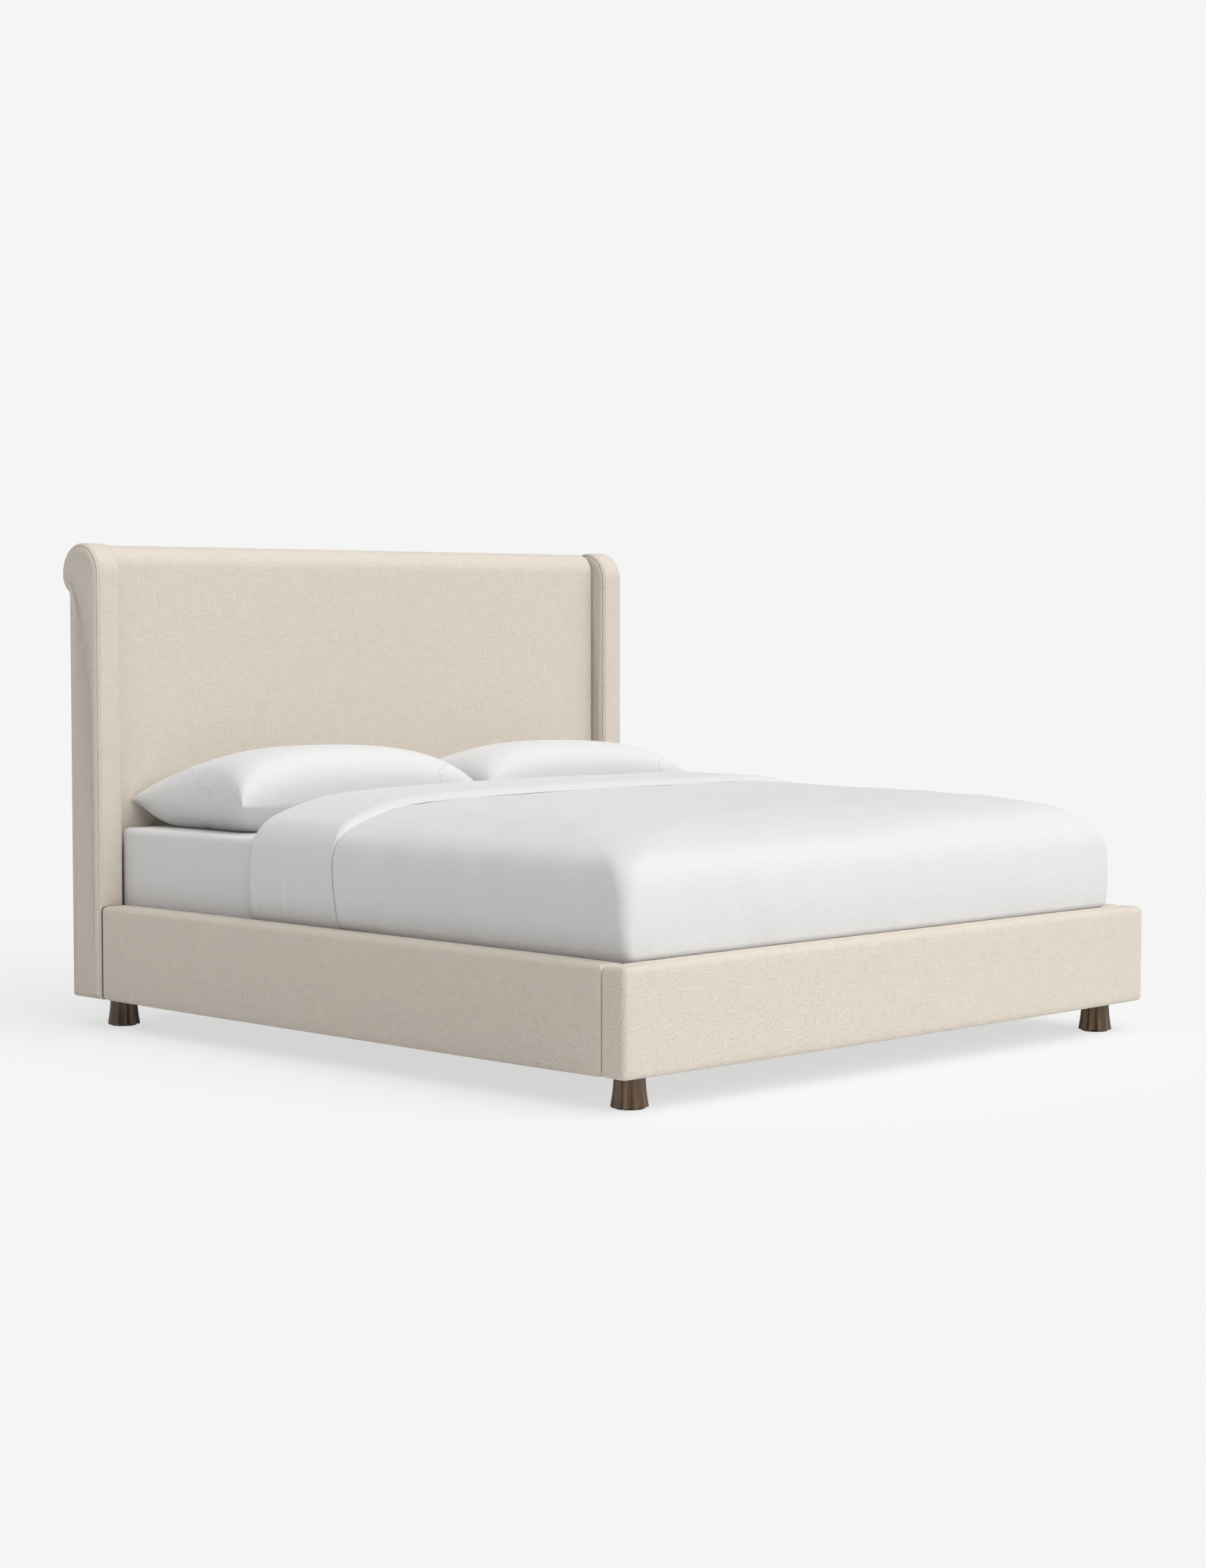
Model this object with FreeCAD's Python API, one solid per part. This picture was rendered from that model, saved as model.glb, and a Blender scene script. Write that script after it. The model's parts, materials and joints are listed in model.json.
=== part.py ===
"""King-size upholstered bed with a scroll-winged headboard, fluted legs and its bedding.

Units are millimetres. X runs across the bed, the foot end is at -Y, the headboard at +Y, +Z is up.
The origin is on the floor, under the centre of the overall plan.
"""
import FreeCAD
import Part
import math
import os

V = FreeCAD.Vector

# ---------------------------------------------------------------- driving dimensions
# mattress, which sets the inside of the frame
MATTRESS_WIDTH = 1920.0
MATTRESS_LENGTH = 2024.0
MATTRESS_THICK = 305.0
MATTRESS_ROUND = 26.0       # top and bottom edges
MATTRESS_CORNER = 70.0      # upright corners
MATTRESS_SIDE_GAP = 8.0     # mattress to a side rail
MATTRESS_FOOT_GAP = 12.0
MATTRESS_HEAD_GAP = 29.0    # mattress to the headboard, where the bedding is tucked down

# frame
SIDE_THICK = 82.0           # side rails and wings
FOOT_THICK = 80.0           # footboard
RAIL_HEIGHT = 269.0
LEG_HEIGHT = 84.0           # floor to the underside of the rails
RAIL_ROUND = 13.0           # edge radius of rails and footboard

# headboard and wings
WING_DEPTH = 142.0          # front of a wing to its flat back
ROLL_OVERHANG = 34.0        # how far the rolled top stands out behind the back
HEADBOARD_TOP = 1386.0      # floor to the crest of the wings
WING_ROUND = 12.0           # edge radius of a wing's side faces
UNDER_ROLL = 60.0           # radius of the curve under the roll
NECK_ROUND = 14.0           # hollow radius where the roll meets the back
PANEL_RECESS = 50.0         # headboard face behind the wing fronts
PANEL_DROP = 5.0            # headboard crest below the wing crests
PANEL_INSET = 2.0           # headboard back in front of the wing backs
PANEL_UNDER_ROLL = 45.0

# upholstery
COVER = 2.0                 # fabric with its lining
FOAM_FACE = 22.0            # foam on the outside faces of rails and footboard
FOAM_EDGE = 12.0            # foam over the narrow edges and ends
WING_FOAM = 14.0            # foam round the edge of a wing's frame
WING_FACE_FOAM = 10.0       # foam on a wing's side faces
HEADBOARD_FOAM = 28.0

# timber inside the headboard and wings
FRONT_BOARD = 12.0
BACK_PANEL = 6.0
BACK_MARGIN = 30.0          # visible cover round the back panel
STILE_WIDTH = 60.0
CROSS_RAIL = 80.0
BOTTOM_RAIL = 150.0
MIDDLE_RAIL_AT = 0.5        # share of the frame's height
CHEEK_THICK = 15.0
SPACER_HEIGHT = 60.0
SPACER_COUNT = 4

# slatted base
MATTRESS_DROP = 88.0        # rail top down to the slat tops
SLAT_COUNT = 11
SLAT_WIDTH = 110.0
SLAT_THICK = 20.0
SLAT_END_GAP = 4.0
LEDGER_WIDTH = 32.0
LEDGER_HEIGHT = 32.0
BEAM_WIDTH = 60.0
BEAM_HEIGHT = 90.0
HANGER_STEEL = 3.0
HANGER_GRIP = 42.0          # length of beam held by a hanger
HANGER_FLANGE = 26.0
CENTRE_LEG_COUNT = 3
CENTRE_LEG_SIDE = 50.0
LEVELLER_PAD_RADIUS = 20.0
LEVELLER_PAD = 8.0
LEVELLER_STUD_RADIUS = 5.0
LEVELLER_GRIP = 45.0        # stud length inside the leg
LEVELLER_GAP = 22.0         # pad top to leg bottom
LEVELLER_CLEARANCE = 0.25

# corner joints
BLOCK_SIDE = 108.0
BLOCK_HEIGHT = 60.0
BRACKET_LEG = 150.0
BRACKET_HEIGHT = 60.0
BRACKET_STEEL = 4.0
BRACKET_LIFT = 4.0          # gap between corner block and bracket
BOLT_RADIUS = 4.0
BOLT_HEAD_RADIUS = 8.0
BOLT_HEAD = 5.0
BOLT_CLEARANCE = 0.15
BOLT_INTO_RAIL = 45.0
BOLT_INTO_HEADBOARD = 80.0
RAIL_BOLTS = (75.0, 122.0)  # from the inner corner, along a rail
CROSS_BOLTS = (45.0, 112.0)  # from the inner corner, across the bed

# legs
LEG_SIDE_INSET = 106.0      # leg centre from the outside of the bed
FRONT_LEG_INSET = 89.0      # leg centre from the foot end
BACK_LEG_INSET = 43.0       # leg centre behind the wing fronts
LEG_TOP_RADIUS = 38.5
LEG_WAIST_RADIUS = 41.0
LEG_BOTTOM_RADIUS = 47.0
FLUTE_COUNT = 10
FLUTE_DEPTH = 4.5
GLIDE = 3.0
GLIDE_RADIUS = 36.0
PLATE = 3.0
PLATE_RADIUS = 32.0
HANGER_BOLT_RADIUS = 4.0
HANGER_BOLT_IN_LEG = 40.0
HANGER_BOLT_IN_BLOCK = 45.0

# bedding
SOFT_GAP = 0.3              # clearance between soft bodies and what carries them
SHEET = 1.7
SHEET_SKIRT = 12.0          # fitted sheet's hem above the mattress underside
TUCK_DEPTH = 60.0           # duvet and flat sheet below the rail top
DUVET_TUCK_GAP = 1.0        # tucked duvet to the rail
BAND_TUCK_GAP = 0.6         # tucked flat sheet to the rail
DUVET_PROUD = 8.0           # duvet side outside the rail's inner face, above the rail
DUVET_TOP = 98.0            # crown of the duvet over the mattress, near the fold
DUVET_HEAD_INSET = 626.0    # duvet's head end from the mattress head
BAND_LENGTH = 340.0         # turned-down band of the flat sheet
BAND_RISE = 20.0            # band above the duvet
BAND_SIDE = 3.0             # band outside the duvet at the sides
BAND_FALL = 16.0            # band beyond the duvet's head end
SHOULDER_DROP = 22.0        # top of the bedding's sides below the mattress top
SHOULDER_SHARE = 0.25       # part of the crown's height that the sides follow
SHOULDER_IN = 8.0           # shoulders inside the sides
CROWN_WIDTH = 0.68          # half width of the crown, as a share of the rail's inner face
CROWN_SHARE = 0.93          # height at the crown's edge, as a share of its crest
RAIL_CLEAR = 2.0            # bedding's outward turn above the rail top
DUVET_FOOT_AT = (DUVET_TUCK_GAP, 16.0, 50.0, 100.0, 220.0, 405.0, 720.0)  # distances from the footboard
DUVET_FOOT_RISE = (-0.42, 0.08, 0.37, 0.54, 0.68, 0.82, 0.91)   # share of the crown reached there
PILLOW_DEPTH = 534.0
PILLOW_MIDDLE_GAP = 12.0    # between the two pillows
PILLOW_END_INSET = 40.0     # pillow's outer end inside the mattress side
PILLOW_BACK_GAP = 2.0
PILLOW_TOP = 148.0          # crown above the seam
PILLOW_BOTTOM = 76.0        # belly below the seam
PILLOW_TIP = 7.0            # half thickness at the end seams
PILLOW_DRAW_IN = 12.0       # long sides drawn in between the corners
PILLOW_REST_SHARE = 0.45    # flat part of the belly, as a share of its depth
PILLOW_SECTIONS = (-1.0, -0.96, -0.87, -0.7, -0.45, -0.15, 0.15, 0.45, 0.7, 0.87, 0.96, 1.0)
CASE = 1.6

# ---------------------------------------------------------------- derived places
INNER_WIDTH = MATTRESS_WIDTH + 2 * MATTRESS_SIDE_GAP
RAIL_LENGTH = MATTRESS_FOOT_GAP + MATTRESS_LENGTH + MATTRESS_HEAD_GAP - PANEL_RECESS
WIDTH = INNER_WIDTH + 2 * SIDE_THICK
ROLL_RADIUS = (WING_DEPTH + ROLL_OVERHANG) / 2
DEPTH = FOOT_THICK + RAIL_LENGTH + 2 * ROLL_RADIUS
OUT_X = WIDTH / 2
IN_X = INNER_WIDTH / 2
FOOT_Y = -DEPTH / 2
FOOT_IN_Y = FOOT_Y + FOOT_THICK
WING_Y = FOOT_IN_Y + RAIL_LENGTH
BACK_Y = WING_Y + WING_DEPTH
PANEL_Y = WING_Y + PANEL_RECESS
PANEL_BACK_Y = BACK_Y - PANEL_INSET
PANEL_RADIUS = ROLL_RADIUS - PANEL_RECESS / 2 - PANEL_INSET
RAIL_TOP = LEG_HEIGHT + RAIL_HEIGHT
ROLL_Z = HEADBOARD_TOP - ROLL_RADIUS
PANEL_ROLL_Z = HEADBOARD_TOP - PANEL_DROP - PANEL_RADIUS
SLAT_TOP = RAIL_TOP - MATTRESS_DROP
SLAT_Z = SLAT_TOP - SLAT_THICK
BOARD_THICK = SIDE_THICK - 2 * COVER - FOAM_FACE
FOOT_BOARD_THICK = FOOT_THICK - 2 * COVER - FOAM_FACE
FRAME_Y = PANEL_Y + COVER + HEADBOARD_FOAM + FRONT_BOARD
FRAME_BACK_Y = PANEL_BACK_Y - BACK_PANEL
BRACKET_Z = LEG_HEIGHT + BLOCK_HEIGHT + BRACKET_LIFT
MATTRESS_Z = SLAT_TOP + SOFT_GAP
MATTRESS_TOP = MATTRESS_Z + MATTRESS_THICK
MATTRESS_FOOT_Y = FOOT_IN_Y + MATTRESS_FOOT_GAP
MATTRESS_HEAD_Y = MATTRESS_FOOT_Y + MATTRESS_LENGTH
SHEET_TOP = MATTRESS_TOP + SHEET
TUCK_Z = RAIL_TOP - TUCK_DEPTH
DUVET_HEAD_Y = MATTRESS_HEAD_Y - DUVET_HEAD_INSET
BAND_FOOT_Y = DUVET_HEAD_Y - BAND_LENGTH
PILLOW_LENGTH = MATTRESS_WIDTH / 2 - PILLOW_END_INSET - PILLOW_MIDDLE_GAP / 2
SIDES = (("left", -1), ("right", 1))


# ---------------------------------------------------------------- helpers
def box(low, high):
    """Plain box between two opposite corners, given in any order."""
    low, high = zip(*[sorted(pair) for pair in zip(low, high)])
    return Part.makeBox(high[0] - low[0], high[1] - low[1], high[2] - low[2], V(*low))


def soft_box(low, high, radius):
    """Box with all twelve edges rounded."""
    block = box(low, high)
    return block.makeFillet(radius, block.Edges)


def shrink(low, high, amount):
    """The two corners of a box whose faces are all moved inwards."""
    low, high = zip(*[sorted(pair) for pair in zip(low, high)])
    return [a + amount for a in low], [b - amount for b in high]


def rod(start, direction, radius, length):
    return Part.makeCylinder(radius, length, V(*start), V(*direction))


def arc(first, middle, last):
    return Part.Arc(V(*first), V(*middle), V(*last)).toShape()


def line(first, last):
    return Part.LineSegment(V(*first), V(*last)).toShape()


def mirrored(shape, sign):
    """The shape itself on the right (+X) side, its mirror image on the left."""
    return shape if sign > 0 else shape.mirror(V(0, 0, 0), V(1, 0, 0))


def export(name, shape):
    shape.exportStep(f"parts/{name}.step")
    print(f"{name:24s} solids {len(shape.Solids):2d}  volume {shape.Volume / 1e6:9.3f} litres")


# ---------------------------------------------------------------- scroll section
def scroll_prism(x_low, x_high, front, back, roll_z, radius, under, inset):
    """Prism along X of the scroll outline: straight front, round roll on top, hollow neck, flat back.

    The inset moves the whole outline inwards.
    """
    neck = NECK_ROUND + inset
    under = under - inset
    roll = radius - inset
    centre = front + radius
    front = front + inset
    back = back - inset
    rear = centre + roll
    bottom = LEG_HEIGHT + inset
    turn = math.acos((under + neck - (rear - back)) / (under + neck))
    neck_z = roll_z - (under + neck) * math.sin(turn)
    under_y = rear - under
    neck_y = back + neck

    def on_under(angle):
        return (x_low, under_y + under * math.cos(angle), roll_z - under * math.sin(angle))

    def on_neck(angle):
        return (x_low, neck_y - neck * math.cos(angle), neck_z + neck * math.sin(angle))

    edges = [
        line((x_low, front, bottom), (x_low, front, roll_z)),
        arc((x_low, front, roll_z),
            (x_low, centre - roll * math.sqrt(0.5), roll_z + roll * math.sqrt(0.5)),
            (x_low, centre, roll_z + roll)),
        arc((x_low, centre, roll_z + roll),
            (x_low, centre + roll * math.sqrt(0.5), roll_z + roll * math.sqrt(0.5)),
            (x_low, rear, roll_z)),
        arc((x_low, rear, roll_z), on_under(turn / 2), on_under(turn)),
        arc(on_under(turn), on_neck(turn / 2), (x_low, back, neck_z)),
        line((x_low, back, neck_z), (x_low, back, bottom)),
        line((x_low, back, bottom), (x_low, front, bottom)),
    ]
    face = Part.Face(Part.Wire(edges))
    return face.extrude(V(x_high - x_low, 0, 0))


def round_ends(prism, radius):
    """Rounds every edge of a prism along X, apart from the lines where its faces run smoothly on."""
    bottom = prism.BoundBox.ZMin
    low, high = prism.BoundBox.XMin, prism.BoundBox.XMax

    def sharp(edge):
        limits = edge.BoundBox
        in_end_face = limits.XMax - limits.XMin < 1e-6 and (
            abs(limits.XMin - low) < 1e-6 or abs(limits.XMin - high) < 1e-6)
        at_bottom = limits.ZMax - bottom < 1e-6
        return in_end_face or at_bottom

    return prism.makeFillet(radius, [edge for edge in prism.Edges if sharp(edge)])


# ---------------------------------------------------------------- bolts and their holes
def corner_bolts(sign, at_head):
    """Bolts of one corner bracket on the given side: (start, direction, shank length) of each.

    A start is on the outer face of the bracket's steel.
    """
    corner_y = PANEL_Y if at_head else FOOT_IN_Y
    inward = -1 if at_head else 1
    depth = BOLT_INTO_HEADBOARD if at_head else BOLT_INTO_RAIL
    height = BRACKET_Z + BRACKET_HEIGHT / 2
    bolts = []
    for along in RAIL_BOLTS:
        start = (sign * (IN_X - BRACKET_STEEL), corner_y + inward * along, height)
        bolts.append((start, (sign, 0, 0), BRACKET_STEEL + BOLT_INTO_RAIL))
    for across in CROSS_BOLTS:
        start = (sign * (IN_X - across), corner_y + inward * BRACKET_STEEL, height)
        bolts.append((start, (0, -inward, 0), BRACKET_STEEL + depth))
    return bolts


def all_bolts():
    return [bolt for _, sign in SIDES for at_head in (False, True) for bolt in corner_bolts(sign, at_head)]


def bolt_solid(start, direction, length):
    head_start = V(*start) - V(*direction) * BOLT_HEAD
    head = rod(head_start, direction, BOLT_HEAD_RADIUS, BOLT_HEAD)
    return head.fuse(rod(start, direction, BOLT_RADIUS, length)).removeSplitter()


def drilled(shape):
    """The shape with a clearance hole for every bracket bolt that reaches it."""
    holes = [rod(start, direction, BOLT_RADIUS + BOLT_CLEARANCE, length + BOLT_CLEARANCE)
             for start, direction, length in all_bolts()]
    reached = [hole for hole in holes if hole.BoundBox.intersect(shape.BoundBox)]
    return shape.cut(Part.makeCompound(reached)) if reached else shape


# ---------------------------------------------------------------- rails and footboard
def padded_board(low, high, board_low, board_high):
    """A timber board wrapped in foam and cover: returns cover, foam and board."""
    inner_low, inner_high = shrink(low, high, COVER)
    outside = soft_box(low, high, RAIL_ROUND)
    inside = soft_box(inner_low, inner_high, RAIL_ROUND - COVER)
    board = box(board_low, board_high)
    return drilled(outside.cut(inside)), inside.cut(board), drilled(board)


def make_side_rails():
    for side, sign in SIDES:
        low = (sign * IN_X, FOOT_IN_Y, LEG_HEIGHT)
        high = (sign * OUT_X, WING_Y, RAIL_TOP)
        margin = COVER + FOAM_EDGE
        board_low = (sign * (IN_X + COVER), FOOT_IN_Y + margin, LEG_HEIGHT + margin)
        board_high = (sign * (IN_X + COVER + BOARD_THICK), WING_Y - margin, RAIL_TOP - margin)
        cover, foam, board = padded_board(low, high, board_low, board_high)
        export(f"rail_cover_{side}", cover)
        export(f"rail_foam_{side}", foam)
        export(f"rail_board_{side}", board)
        ledger = box((sign * IN_X, FOOT_IN_Y, SLAT_Z - LEDGER_HEIGHT),
                     (sign * (IN_X - LEDGER_WIDTH), WING_Y, SLAT_Z))
        export(f"slat_ledger_{side}", ledger)


def make_footboard():
    margin = COVER + FOAM_EDGE
    low = (-OUT_X, FOOT_Y, LEG_HEIGHT)
    high = (OUT_X, FOOT_IN_Y, RAIL_TOP)
    board_low = (-OUT_X + COVER + FOAM_FACE, FOOT_IN_Y - COVER - FOOT_BOARD_THICK, LEG_HEIGHT + margin)
    board_high = (OUT_X - COVER - FOAM_FACE, FOOT_IN_Y - COVER, RAIL_TOP - margin)
    cover, foam, board = padded_board(low, high, board_low, board_high)
    export("footboard_cover", cover)
    export("footboard_foam", foam)
    export("footboard_board", board)


# ---------------------------------------------------------------- wings
def make_wings():
    for side, sign in SIDES:
        def wing_prism(inset, face_inset):
            return scroll_prism(IN_X + face_inset, OUT_X - face_inset, WING_Y, BACK_Y,
                                ROLL_Z, ROLL_RADIUS, UNDER_ROLL, inset)

        outside = round_ends(wing_prism(0, 0), WING_ROUND)
        inside = round_ends(wing_prism(COVER, COVER), WING_ROUND - COVER)
        cavity_inset = COVER + WING_FOAM
        face_inset = COVER + WING_FACE_FOAM
        cavity = wing_prism(cavity_inset, face_inset)
        core_low = IN_X + face_inset
        core_high = OUT_X - face_inset
        gap = box((core_low + CHEEK_THICK, WING_Y, LEG_HEIGHT),
                  (core_high - CHEEK_THICK, BACK_Y + ROLL_OVERHANG, HEADBOARD_TOP))
        frame = cavity.cut(gap).Solids
        bottom = LEG_HEIGHT + cavity_inset
        pitch = (ROLL_Z - bottom - SPACER_HEIGHT) / (SPACER_COUNT - 1)
        for number in range(SPACER_COUNT):
            z = bottom + number * pitch
            frame.append(box((core_low + CHEEK_THICK, WING_Y + cavity_inset, z),
                             (core_high - CHEEK_THICK, BACK_Y - cavity_inset, z + SPACER_HEIGHT)))
        export(f"wing_cover_{side}", mirrored(outside.cut(inside), sign))
        export(f"wing_foam_{side}", mirrored(inside.cut(cavity), sign))
        export(f"wing_frame_{side}", mirrored(Part.makeCompound(frame), sign))


# ---------------------------------------------------------------- headboard
def make_headboard():
    def panel_prism(inset):
        return scroll_prism(-IN_X + inset, IN_X - inset, PANEL_Y, PANEL_BACK_Y,
                            PANEL_ROLL_Z, PANEL_RADIUS, PANEL_UNDER_ROLL, inset)

    margin = COVER + FOAM_EDGE
    low_x = -IN_X + margin
    high_x = IN_X - margin
    bottom = LEG_HEIGHT + margin
    top = PANEL_ROLL_Z
    outside = panel_prism(0)
    inside = panel_prism(COVER)
    back_panel = box((-IN_X + BACK_MARGIN, FRAME_BACK_Y, LEG_HEIGHT + BACK_MARGIN),
                     (IN_X - BACK_MARGIN, PANEL_BACK_Y, PANEL_ROLL_Z - 2 * PANEL_UNDER_ROLL - BACK_MARGIN))
    front_board = box((low_x, FRAME_Y - FRONT_BOARD, bottom), (high_x, FRAME_Y, top))
    envelope = box((low_x, FRAME_Y - FRONT_BOARD, bottom), (high_x, FRAME_BACK_Y, top))

    timbers = [box((x, FRAME_Y, bottom), (x + STILE_WIDTH, FRAME_BACK_Y, top))
               for x in (low_x, high_x - STILE_WIDTH)]
    middle = bottom + (top - bottom) * MIDDLE_RAIL_AT
    for z, height in ((bottom, BOTTOM_RAIL), (middle, CROSS_RAIL), (top - CROSS_RAIL, CROSS_RAIL)):
        timbers.append(box((low_x + STILE_WIDTH, FRAME_Y, z),
                           (high_x - STILE_WIDTH, FRAME_BACK_Y, z + height)))

    export("headboard_cover", drilled(outside.cut(inside).cut(back_panel)))
    export("headboard_foam", drilled(inside.cut(envelope).cut(back_panel)))
    export("headboard_front_board", drilled(front_board))
    export("headboard_frame", drilled(Part.makeCompound(timbers)))
    export("headboard_back_panel", back_panel)


# ---------------------------------------------------------------- corner joints
def corner_places():
    """Inner corner of the frame and the two directions away from it, for each of the four corners."""
    for _, sign in SIDES:
        yield sign, FOOT_IN_Y, 1
        yield sign, PANEL_Y, -1


def leg_places():
    """Name, centre X, centre Y and the angle of the first flute crest of each leg."""
    for end, y in (("front", FOOT_Y + FRONT_LEG_INSET), ("back", WING_Y + BACK_LEG_INSET)):
        for side, sign in SIDES:
            yield f"{end}_{side}", sign * (OUT_X - LEG_SIDE_INSET), y, -45.0 * sign


def hanger_bolt_hole(x, y):
    low = LEG_HEIGHT - PLATE - HANGER_BOLT_IN_LEG
    length = HANGER_BOLT_IN_LEG + PLATE + HANGER_BOLT_IN_BLOCK
    return rod((x, y, low - BOLT_CLEARANCE), (0, 0, 1), HANGER_BOLT_RADIUS + BOLT_CLEARANCE,
               length + 2 * BOLT_CLEARANCE)


def make_corner_joints():
    blocks = []
    brackets = []
    holes = Part.makeCompound([hanger_bolt_hole(x, y) for _, x, y, _ in leg_places()])
    for sign, corner_y, inward in corner_places():
        blocks.append(box((sign * IN_X, corner_y, LEG_HEIGHT),
                          (sign * (IN_X - BLOCK_SIDE), corner_y + inward * BLOCK_SIDE,
                           LEG_HEIGHT + BLOCK_HEIGHT)).cut(holes))
        top = BRACKET_Z + BRACKET_HEIGHT
        along = box((sign * IN_X, corner_y, BRACKET_Z),
                    (sign * (IN_X - BRACKET_STEEL), corner_y + inward * BRACKET_LEG, top))
        across = box((sign * IN_X, corner_y, BRACKET_Z),
                     (sign * (IN_X - BRACKET_LEG), corner_y + inward * BRACKET_STEEL, top))
        brackets.append(along.fuse(across).removeSplitter())
    export("corner_blocks", Part.makeCompound(blocks))
    export("corner_brackets", drilled(Part.makeCompound(brackets)))
    export("bracket_bolts", Part.makeCompound([bolt_solid(*bolt) for bolt in all_bolts()]))


# ---------------------------------------------------------------- legs
def fluted_section(x, y, z, radius, first_crest):
    """Closed wave outline: crests at the radius, valleys a flute depth inside it."""
    step = 2 * math.pi / FLUTE_COUNT
    start = math.radians(first_crest)

    def point(turns, reach):
        angle = start + turns * step
        return (x + reach * math.cos(angle), y + reach * math.sin(angle), z)

    valley = radius - FLUTE_DEPTH
    flank = radius - FLUTE_DEPTH / 2
    edges = []
    for number in range(FLUTE_COUNT):
        edges.append(arc(point(number - 0.25, flank), point(number, radius), point(number + 0.25, flank)))
        edges.append(arc(point(number + 0.25, flank), point(number + 0.5, valley),
                         point(number + 0.75, flank)))
    return Part.Wire(edges)


def make_legs():
    top = LEG_HEIGHT - PLATE
    plates = []
    bolts = []
    glides = []
    for name, x, y, crest in leg_places():
        sections = [
            fluted_section(x, y, GLIDE, LEG_BOTTOM_RADIUS, crest),
            fluted_section(x, y, (GLIDE + top) / 2, LEG_WAIST_RADIUS, crest),
            fluted_section(x, y, top, LEG_TOP_RADIUS, crest),
        ]
        leg = Part.makeLoft(sections, True, False)
        hole = hanger_bolt_hole(x, y)
        export(f"leg_{name}", leg.cut(hole))
        plates.append(rod((x, y, top), (0, 0, 1), PLATE_RADIUS, PLATE).cut(hole))
        bolts.append(rod((x, y, top - HANGER_BOLT_IN_LEG), (0, 0, 1), HANGER_BOLT_RADIUS,
                         HANGER_BOLT_IN_LEG + PLATE + HANGER_BOLT_IN_BLOCK))
        glides.append(rod((x, y, 0), (0, 0, 1), GLIDE_RADIUS, GLIDE))
    export("leg_plates", Part.makeCompound(plates))
    export("leg_hanger_bolts", Part.makeCompound(bolts))
    export("leg_glides", Part.makeCompound(glides))


# ---------------------------------------------------------------- slatted base
def make_slats():
    first = FOOT_IN_Y + SLAT_WIDTH / 2 + SLAT_END_GAP
    last = WING_Y - SLAT_WIDTH / 2 - SLAT_END_GAP
    reach = IN_X - SLAT_END_GAP
    for number in range(SLAT_COUNT):
        y = first + (last - first) * number / (SLAT_COUNT - 1)
        slat = box((-reach, y - SLAT_WIDTH / 2, SLAT_Z), (reach, y + SLAT_WIDTH / 2, SLAT_TOP))
        export(f"slat_{number + 1:02d}", slat)


def make_centre_beam():
    low_z = SLAT_Z - BEAM_HEIGHT
    beam = box((-BEAM_WIDTH / 2, FOOT_IN_Y + HANGER_STEEL, low_z),
               (BEAM_WIDTH / 2, PANEL_Y - HANGER_STEEL, SLAT_Z))
    export("centre_beam", beam)
    hangers = []
    for wall, inward in ((FOOT_IN_Y, 1), (PANEL_Y, -1)):
        half = BEAM_WIDTH / 2 + HANGER_STEEL
        cup = box((-half, wall, low_z - HANGER_STEEL),
                  (half, wall + inward * (HANGER_STEEL + HANGER_GRIP), SLAT_Z))
        flange = box((-half - HANGER_FLANGE, wall, low_z - HANGER_STEEL),
                     (half + HANGER_FLANGE, wall + inward * HANGER_STEEL, SLAT_Z))
        room = box((-BEAM_WIDTH / 2, wall + inward * HANGER_STEEL, low_z),
                   (BEAM_WIDTH / 2, wall + inward * 2 * (HANGER_STEEL + HANGER_GRIP), SLAT_TOP))
        hangers.append(cup.fuse(flange).cut(room).removeSplitter())
    export("beam_hangers", Part.makeCompound(hangers))


def make_centre_legs():
    top = SLAT_Z - BEAM_HEIGHT
    bottom = LEVELLER_PAD + LEVELLER_GAP
    stud_top = bottom + LEVELLER_GRIP
    bore = LEVELLER_STUD_RADIUS + LEVELLER_CLEARANCE
    half = CENTRE_LEG_SIDE / 2
    spacing = (PANEL_Y - FOOT_IN_Y) / (CENTRE_LEG_COUNT + 1)
    for number in range(CENTRE_LEG_COUNT):
        y = FOOT_IN_Y + (number + 1) * spacing
        post = box((-half, y - half, bottom), (half, y + half, top))
        hole = rod((0, y, bottom), (0, 0, 1), bore, LEVELLER_GRIP + LEVELLER_CLEARANCE)
        pad = rod((0, y, 0), (0, 0, 1), LEVELLER_PAD_RADIUS, LEVELLER_PAD)
        stud = rod((0, y, LEVELLER_PAD), (0, 0, 1), LEVELLER_STUD_RADIUS, stud_top - LEVELLER_PAD)
        export(f"centre_leg_{number + 1}", post.cut(hole))
        export(f"leveller_{number + 1}", pad.fuse(stud).removeSplitter())


# ---------------------------------------------------------------- mattress and sheets
def mattress_block(grow):
    """Rounded block of the mattress, with all its faces moved outwards by grow."""
    half = MATTRESS_WIDTH / 2 + grow
    block = box((-half, MATTRESS_FOOT_Y - grow, MATTRESS_Z - grow),
                (half, MATTRESS_HEAD_Y + grow, MATTRESS_TOP + grow))
    uprights = [edge for edge in block.Edges if edge.BoundBox.ZLength > MATTRESS_THICK / 2]
    block = block.makeFillet(MATTRESS_CORNER + grow, uprights)
    rims = [edge for edge in block.Edges if edge.BoundBox.ZLength < MATTRESS_THICK / 2]
    return block.makeFillet(MATTRESS_ROUND + grow, rims)


def below(height):
    """Everything under the given height."""
    return box((-WIDTH, -DEPTH, -MATTRESS_THICK), (WIDTH, DEPTH, height))


def make_mattress():
    mattress = mattress_block(0)
    export("mattress", mattress)
    skirt = below(MATTRESS_Z + SHEET_SKIRT)
    export("fitted_sheet", mattress_block(SHEET).cut(skirt).cut(mattress))


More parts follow.
